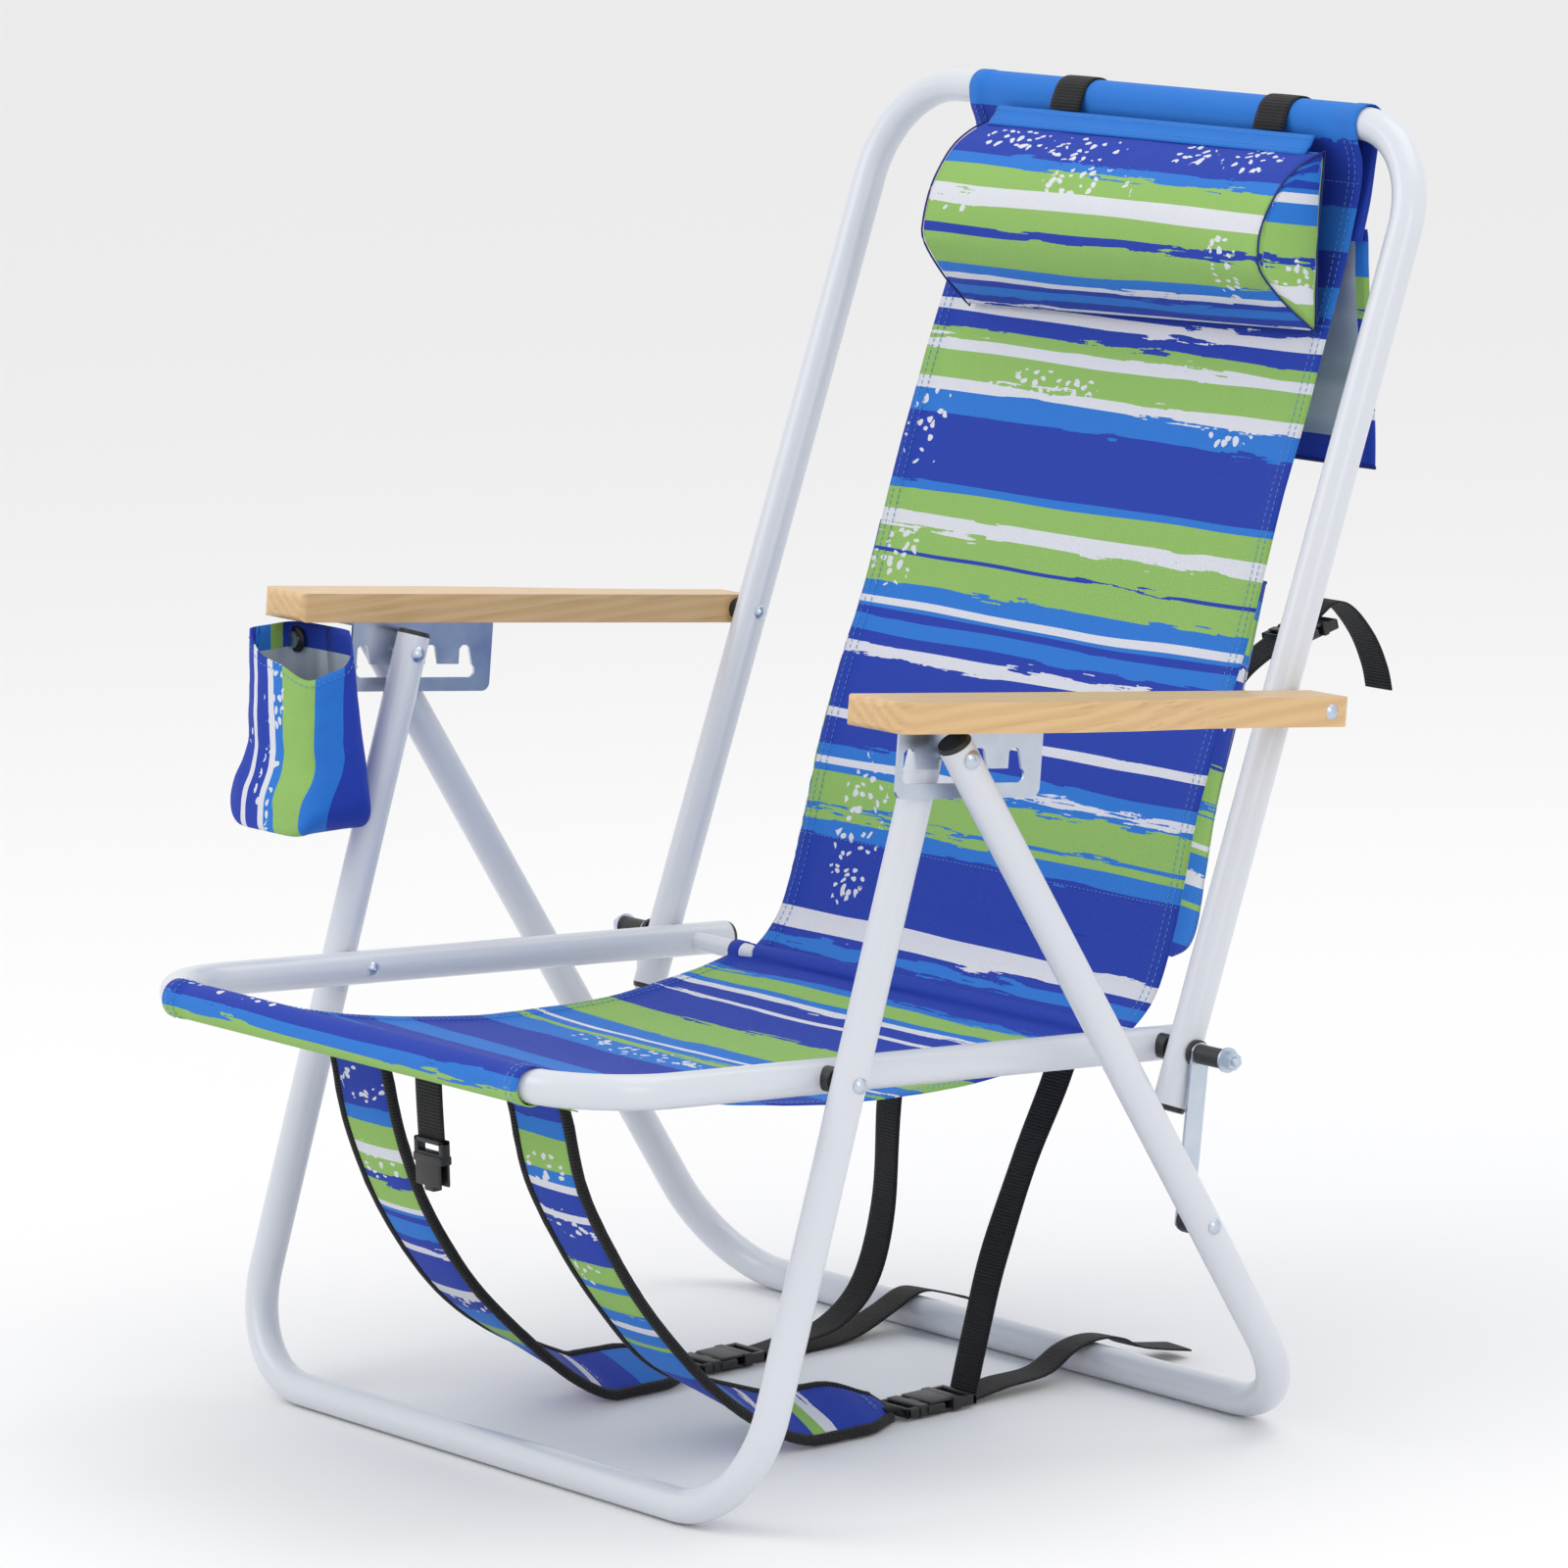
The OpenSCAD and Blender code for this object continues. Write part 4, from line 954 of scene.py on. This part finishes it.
# ---------------------------------------------------------------- webbing
flat_web = strap_section(25, 1.2, 1.4, 8)
sewn_path = smooth_path([on_back(214, 43.9), (500, 460.8), (524, 474), (536.3, 479.8)], 8)
tail_path = smooth_path([(564, 494.2), (579, 501.5), (594, 495), (611, 475), (621, 454), (624.8, 438)], 6)
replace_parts(ribbon("pouch_strap_sewn", sewn_path, 160, flat_web, BACK), "pouch_webbing")
ribbon("pouch_strap_tail", tail_path, 160, flat_web, BACK)


def fold_flat(obj):
    """Gives the piece its own copy of its mesh."""
    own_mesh(obj)


STRAP_HALF = 27.6


def padded_strap(name, points, x, tilt, print_material, node):
    """Shoulder strap: printed padded panel, ribbed black binding down both edges and round the
    narrowed lower end. It rolls over by tilt degrees where it lies on the ground."""
    path = smooth_path(points, 7)
    run = lengths(path)
    total = run[-1]
    halves, leans, xs, raised = [], [], [], []
    for r, (y, z) in zip(run, path):
        half = STRAP_HALF * (1 - 0.55 * ease(r, total - 34, total + 4) ** 1.5)
        lean_deg = tilt * ease(r, total * 0.50, total * 0.80) + 2.5 * ripple(0, y, z, 0.011, 4 + x)
        slope = abs(math.sin(math.radians(lean_deg)))
        halves.append(half)
        leans.append(math.radians(lean_deg))
        xs.append(x + 1.5 * ripple(0, y, z, 0.012, x))
        raised.append((y, max(z, 3.6 + (half + 3) * slope)))
    normals = path_normals(raised)

    def spot(i, across, through):
        side = across * math.cos(leans[i]) - through * math.sin(leans[i])
        lift = across * math.sin(leans[i]) + through * math.cos(leans[i])
        y, z = raised[i]
        return at(xs[i] + side, y + normals[i][0] * lift, z + normals[i][1] * lift)

    rings, uv_rings = [], []
    for i in range(len(path)):
        section = strap_section(54 * halves[i] / STRAP_HALF, 3.0, 6.4, 14)
        rings.append([spot(i, a, b) for a, b in section])
        uv_rings.append([(a * MM, run[i] * MM) for a, b in section])
    panel = loft(name, rings, uv_rings, print_material, SEAT)
    angles = [2 * math.pi * k / 12 for k in range(12)]
    for label, side in (("right", -1), ("left", 1)):
        rings, uv_rings = [], []
        for i in range(len(path)):
            puff = 1 + 0.08 * ripple(0, run[i], 0, 0.09, side)
            rings.append([
                spot(i, side * halves[i] + 4.0 * puff * math.cos(angle), 3.5 * puff * math.sin(angle))
                for angle in angles
            ])
            uv_rings.append([(angle * 0.003, run[i] * MM) for angle in angles])
        fold_flat(loft(f"{name}_binding_{label}", rings, uv_rings, WEB, SEAT))

    last = len(path) - 1
    half = halves[last]
    end_y, end_z = raised[last]
    out = Vector((0, normals[last][0], normals[last][1]))
    forward = Vector((0, end_y - raised[last - 1][0], end_z - raised[last - 1][1])).normalized()
    angles = [2 * math.pi * m / 10 for m in range(10)]
    rings, uv_rings = [], []
    for k in range(9):
        a = -half + 2 * half * k / 8
        middle = spot(last, a, 0) + forward * 2.5 * (1 - (a / half) ** 2) * MM
        rings.append([
            middle + (forward * 3.0 * math.cos(angle) + out * 2.7 * math.sin(angle)) * MM
            for angle in angles
        ])
        uv_rings.append([(0.003 * m, a * MM) for m in range(10)])
    end = loft(f"{name}_end_binding", rings, uv_rings, WEB, SEAT)
    tab_path = smooth_path([(end_y - 4, end_z), (end_y + 4, end_z), (end_y + 9, 5.0), (end_y + 14, 4.5)], 4)
    tab = ribbon(f"{name}_tab", tab_path, xs[last], strap_section(24, 2.4, 2.8, 8), SEAT)
    tack = [spot(last - 2 - step % 2, -half * 0.7 + 1.4 * half * step / 8, 3.6) for step in range(9)]
    sewn = stitches(f"{name}_bar_tack", tack, [out] * len(tack), SEAT, pitch=3.2)
    for obj in (end, tab, panel, sewn):
        fold_flat(obj)
    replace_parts(panel, node)


left_points = [
    (-22, 264), (-15, 243), (-4, 195), (21, 145), (51, 101), (86, 61), (124, 36), (170, 16),
    (212, 7.4), (248, 4.6),
]
right_points = [
    (-22, 264), (-19, 243), (-10, 200), (12, 146), (49, 90), (100, 44), (150, 14), (188, 5.5), (224, 4.6),
]
padded_strap("strap_left", left_points, 92, -20, print_near, "left_shoulder_strap")
padded_strap("strap_right", right_points, -92, -16, print_far, "right_shoulder_strap")

# The buckle is drawn 57.5 mm long, and its female half starts 18 mm along
CLIP_LENGTH, FEMALE_START = 57.5, 18.0


def clip_buckle(name, x, start, angle, length, body, node, female_only=False, width=34.0):
    """Side-release buckle from a few moulded parts. start is where the webbing enters the
    male half, angle its direction in side view."""
    along = (math.cos(math.radians(angle)), math.sin(math.radians(angle)))
    lift = (-along[1], along[0])
    w = width / 2
    boxes = [
        (-w + 2, w - 2, 20, 43, 2.3, 4.3), (-w + 2, w - 2, 20, 43, -4.3, -2.3), (-w, w, 38, 45, -4.4, 4.4),
        (-w, -w + 4, 43, 57.5, -3.4, 3.4), (w - 4, w, 43, 57.5, -3.4, 3.4), (-w, w, 53.5, 57.5, -3.4, 3.4),
        (-w + 2, w - 2, 43, 47, -3.4, 3.4), (-5, 5, 16, 40, -3.6, 3.6),
    ]
    if not female_only:
        boxes += [
            (-w + 0.5, w - 0.5, 9, 18, -3.8, 3.8), (-w + 0.5, -w + 4, 0, 12, -3.2, 3.2),
            (w - 4, w - 0.5, 0, 12, -3.2, 3.2), (-w + 0.5, w - 0.5, 0, 3.6, -3.2, 3.2),
            (-w - 0.6, -w + 4.5, 17, 31, -2.6, 2.6), (w - 4.5, w + 0.6, 17, 31, -2.6, 2.6),
        ]
    begin = FEMALE_START if female_only else 0.0
    k = length / (CLIP_LENGTH - begin)
    verts, faces = [], []
    for x0, x1, s0, s1, z0, z1 in boxes:
        faces += [tuple(len(verts) + m for m in f) for f in (
            (0, 1, 3, 2), (4, 6, 7, 5), (0, 4, 5, 1), (2, 3, 7, 6), (0, 2, 6, 4), (1, 5, 7, 3))]
        for sx in (x0, x1):
            for q in ((s0 - begin) * k, (s1 - begin) * k):
                for sz in (z0, z1):
                    verts.append(at(x + sx, start[0] + along[0] * q + lift[0] * sz,
                                    start[1] + along[1] * q + lift[1] * sz))
    obj = mesh_object(name, verts, faces, None, BLACK, body)
    tidy_normals(obj)
    bevel = obj.modifiers.new("edge", "BEVEL")
    bevel.width = 1.0 * MM
    bevel.segments = 3
    bevel.limit_method = "ANGLE"
    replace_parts(obj, node)
    return obj


fold_flat(clip_buckle("left_clip", 92, (257.5, 5.2), 0.5, 57.5, SEAT, "left_strap_buckle"))
fold_flat(clip_buckle("right_clip", -92, (233.5, 5.2), 0.5, 54.5, SEAT, "right_strap_buckle"))
clip_buckle("pouch_clip", 160, (538, 480), 13, 38, BACK, "pouch_buckle")
clip_buckle("centre_clip", 0, (-32, 183), 90, 32, SEAT, "centre_buckle", True, 30.0)

web_paths = {
    "left": (
        [(317, 6), (330, 48), (345, 92), (373, 152), (404, 208), (424, 262), (430.6, 295)],
        [(317, 4), (345, 8), (380, 10), (404, 21), (423.5, 24.7), (443, 22), (462, 13), (502, 5)], 92),
    "right": (
        [(290, 5), (318, 8), (355, 14), (385, 38), (402, 86), (409, 155), (420, 230), (430.6, 295)],
        [(290, 2.1), (330, 1.5), (366, 4), (398, 15), (423.5, 24.7), (446, 20), (480, 8)], -92),
}
for label, (riser, tail, x) in web_paths.items():
    for part, points in (("riser", riser), ("tail", tail)):
        path = smooth_path(points, 8)
        leans = [7 * ripple(0, y, z, 0.013, x + 2) for y, z in path]
        piece = ribbon(f"strap_web_{label}_{part}", path, x, flat_web, SEAT, leans)
        fold_flat(piece)
        if part == "riser":
            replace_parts(piece, f"{label}_strap_webbing")

# Centre carry strap: one ply of webbing down to the buckle
centre_path = smooth_path([(-32, 270), (-33, 250), (-32, 213)], 8)
centre = ribbon("centre_strap_front", centre_path, 0, strap_section(27, 1.2, 1.5, 8), SEAT)
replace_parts(centre, "centre_strap")

# ---------------------------------------------------------------- finishes on the CAD pieces
WHITE_NODES = ("seat_frame_tube", "cross_tube", "back_frame_tube", "front_leg_tube", "rear_leg_tube")
WOOD_NODES = ("left_armrest", "right_armrest")
BLACK_WORDS = ("caps", "bushes", "buckle", "washers", "sleeves")
for name, node in frame["nodes"].items():
    if name in WHITE_NODES:
        chosen, width = COAT, 0.0
    elif name in WOOD_NODES:
        chosen, width = WOOD, 3.0
    elif any(word in name for word in BLACK_WORDS) and name != "axle_washers":
        chosen, width = BLACK, 0.6
    else:
        chosen, width = ZINC, 0.25
    node.data.materials.clear()
    node.data.materials.append(chosen)
    if width:
        bevel = node.modifiers.new("edge", "BEVEL")
        bevel.width = width * MM
        bevel.segments = 4 if width > 1 else 2
        bevel.limit_method = "ANGLE"
        bevel.angle_limit = math.radians(40)
        bevel.use_clamp_overlap = chosen is not WOOD

# ---------------------------------------------------------------- cup pouch
CX0, CX1, CY0, CY1, CZ0, CZT = -333.5, -246.0, 46.0, 103.0, 361.0, 494.0
CUP_AROUND, CUP_UP = 72, 34
CUP_HEM_ROWS = 4
CUP_BASE = CZ0 + 2
CUP_BACK = CY1 + 0.6
cup_x, cup_y = (CX0 + CX1) / 2, (CY0 + CY1) / 2


def cup_rim(theta):
    """Height of the rim: high at the back and outside, low at the inner front corner."""
    return 491.5 - 27.0 * max(0.0, math.cos(theta + math.radians(35))) ** 0.85


def cup_point(theta, height):
    """A point of the pouch wall: narrow at the rim, sagging wide at the bottom."""
    lift = height / 130.0
    bulge = 1 - ease(lift, 0.12, 0.44)
    cx, sy = math.cos(theta), math.sin(theta)
    left = -321.5 - 11.5 * bulge - 8.0 * (1 - bulge) * max(0.0, sy)
    right = -236.0 - 14.0 * min(max((lift - 0.12) / 0.88, 0), 1)
    front = 57.0 - 6.0 * (1 - lift) - 6.0 * bulge
    corner = 5 + 17 * cx ** 2
    share = max(0.0, 1 - height / corner)
    inset = corner * (1 - math.sqrt(1 - share ** 2))
    squareness = 0.34 + 0.22 * lift
    hx = (right - left) / 2 - inset
    hy = (CUP_BACK - front) / 2 - 0.4 * inset
    x = (left + right) / 2 + hx * math.copysign(abs(cx) ** squareness, cx)
    y = (front + CUP_BACK) / 2 + hy * math.copysign(abs(sy) ** squareness, sy)
    z = CUP_BASE + height
    fade = math.sin(math.pi * min(max(lift, 0) * 0.9 + 0.1, 1))
    crease = fade * (2.4 * ripple(x * 1.2, y, z * 0.6, 0.035, 2.0) + 0.9 * ripple(x, y, z, 0.09, 5.0))
    y_crease = crease * sy if sy < 0.3 else 0
    return x + crease * cx, min(y + 0.8 * y_crease, CUP_BACK), z


def build_cup():
    """The shell's rows from its bottom up, printed along its height."""
    rows, uv_rows = [], []
    for k in range(CUP_UP + 1):
        t = (k / CUP_UP) ** 1.5
        thetas = [math.pi / 2 + 2 * math.pi * c / CUP_AROUND for c in range(CUP_AROUND + 1)]
        points = [cup_point(theta, (cup_rim(theta) - CUP_BASE) * t) for theta in thetas]
        travelled = lengths([(x, y) for x, y, _ in points])
        shift = 0.5 * (302 - travelled[-1])
        rows.append([at(*p) for p in points])
        uv_rows.append([((p[2] - CZ0) * MM, (run + shift) * MM) for run, p in zip(travelled, points)])
    rows.insert(0, [at(cup_x + (p.x / MM - cup_x) * 0.02, cup_y, CZ0 + 1.2) for p in rows[0]])
    uv_rows.insert(0, list(uv_rows[0]))
    return sheet_grid("cup_pouch_shell", rows, uv_rows, print_cup, "armrests", 1.0), rows


cup, cup_rows = build_cup()
middle = at(cup_x, cup_y, 430)
hem_line = cup_rows[-2]
hem_out = [Vector((p.x - middle.x, p.y - middle.y, 0)).normalized() for p in hem_line]
cup_stitch = stitches("cup_rim_stitch", [p + n * 0.9 * MM for p, n in zip(hem_line, hem_out)], hem_out, ARMS)
facing = sum(p.normal.dot((p.center - middle).normalized()) for p in cup.data.polygons)
two_sided(cup, print_cup, facing, rim=0 if facing > 0 else 1)
for polygon in cup.data.polygons:
    if polygon.index >= CUP_AROUND * (CUP_UP + 2 - CUP_HEM_ROWS):
        polygon.material_index = 2
loft("cup_screw_washer", [
    [at(-318 + radius * math.cos(2 * math.pi * k / 32), y, 480 + radius * math.sin(2 * math.pi * k / 32))
     for k in range(32)]
    for y, radius in ((97.9, 6.0), (98.4, 8.6), (99.6, 9.0), (100.4, 8.4), (100.4, 5.0))
], None, BLACK, ARMS)
for piece in (cup, cup_stitch):
    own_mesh(piece)
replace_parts(cup, "cup_pouch")

# ---------------------------------------------------------------- floor and light
bpy.ops.mesh.primitive_plane_add(size=60, location=(0, 0, -0.0004))
floor = bpy.context.object
floor.name = "floor"
kit = Nodes("pale_floor")
kit.set(Base_Color=(0.90, 0.90, 0.905, 1), Roughness=0.9, Specular_IOR_Level=0.1)
floor.data.materials.append(kit.material)

world = bpy.data.worlds.new("studio")
bpy.context.scene.world = world
world.use_nodes = True
world.node_tree.nodes["Background"].inputs["Color"].default_value = (1, 1, 1, 1)
world.node_tree.nodes["Background"].inputs["Strength"].default_value = 0.92


def lamp(name, spot, aim, size, power):
    data = bpy.data.lights.new(name, "AREA")
    data.shape = "RECTANGLE"
    data.size, data.size_y = size
    data.energy = power
    obj = bpy.data.objects.new(name, data)
    bpy.context.scene.collection.objects.link(obj)
    obj.location = spot
    obj.rotation_euler = (Vector(aim) - Vector(spot)).to_track_quat("-Z", "Y").to_euler()


lamp("key", (-1.4, -2.4, 2.4), (0, 0, 0.4), (2.2, 1.6), 20)
lamp("side", (3.2, -0.6, 1.8), (0, 0, 0.4), (1.2, 2.0), 12)
lamp("over", (0.4, 1.2, 3.0), (0, 0, 0.4), (2.5, 2.0), 16)

view_settings = bpy.context.scene.view_settings
view_settings.view_transform = "Standard"
view_settings.look = "None"
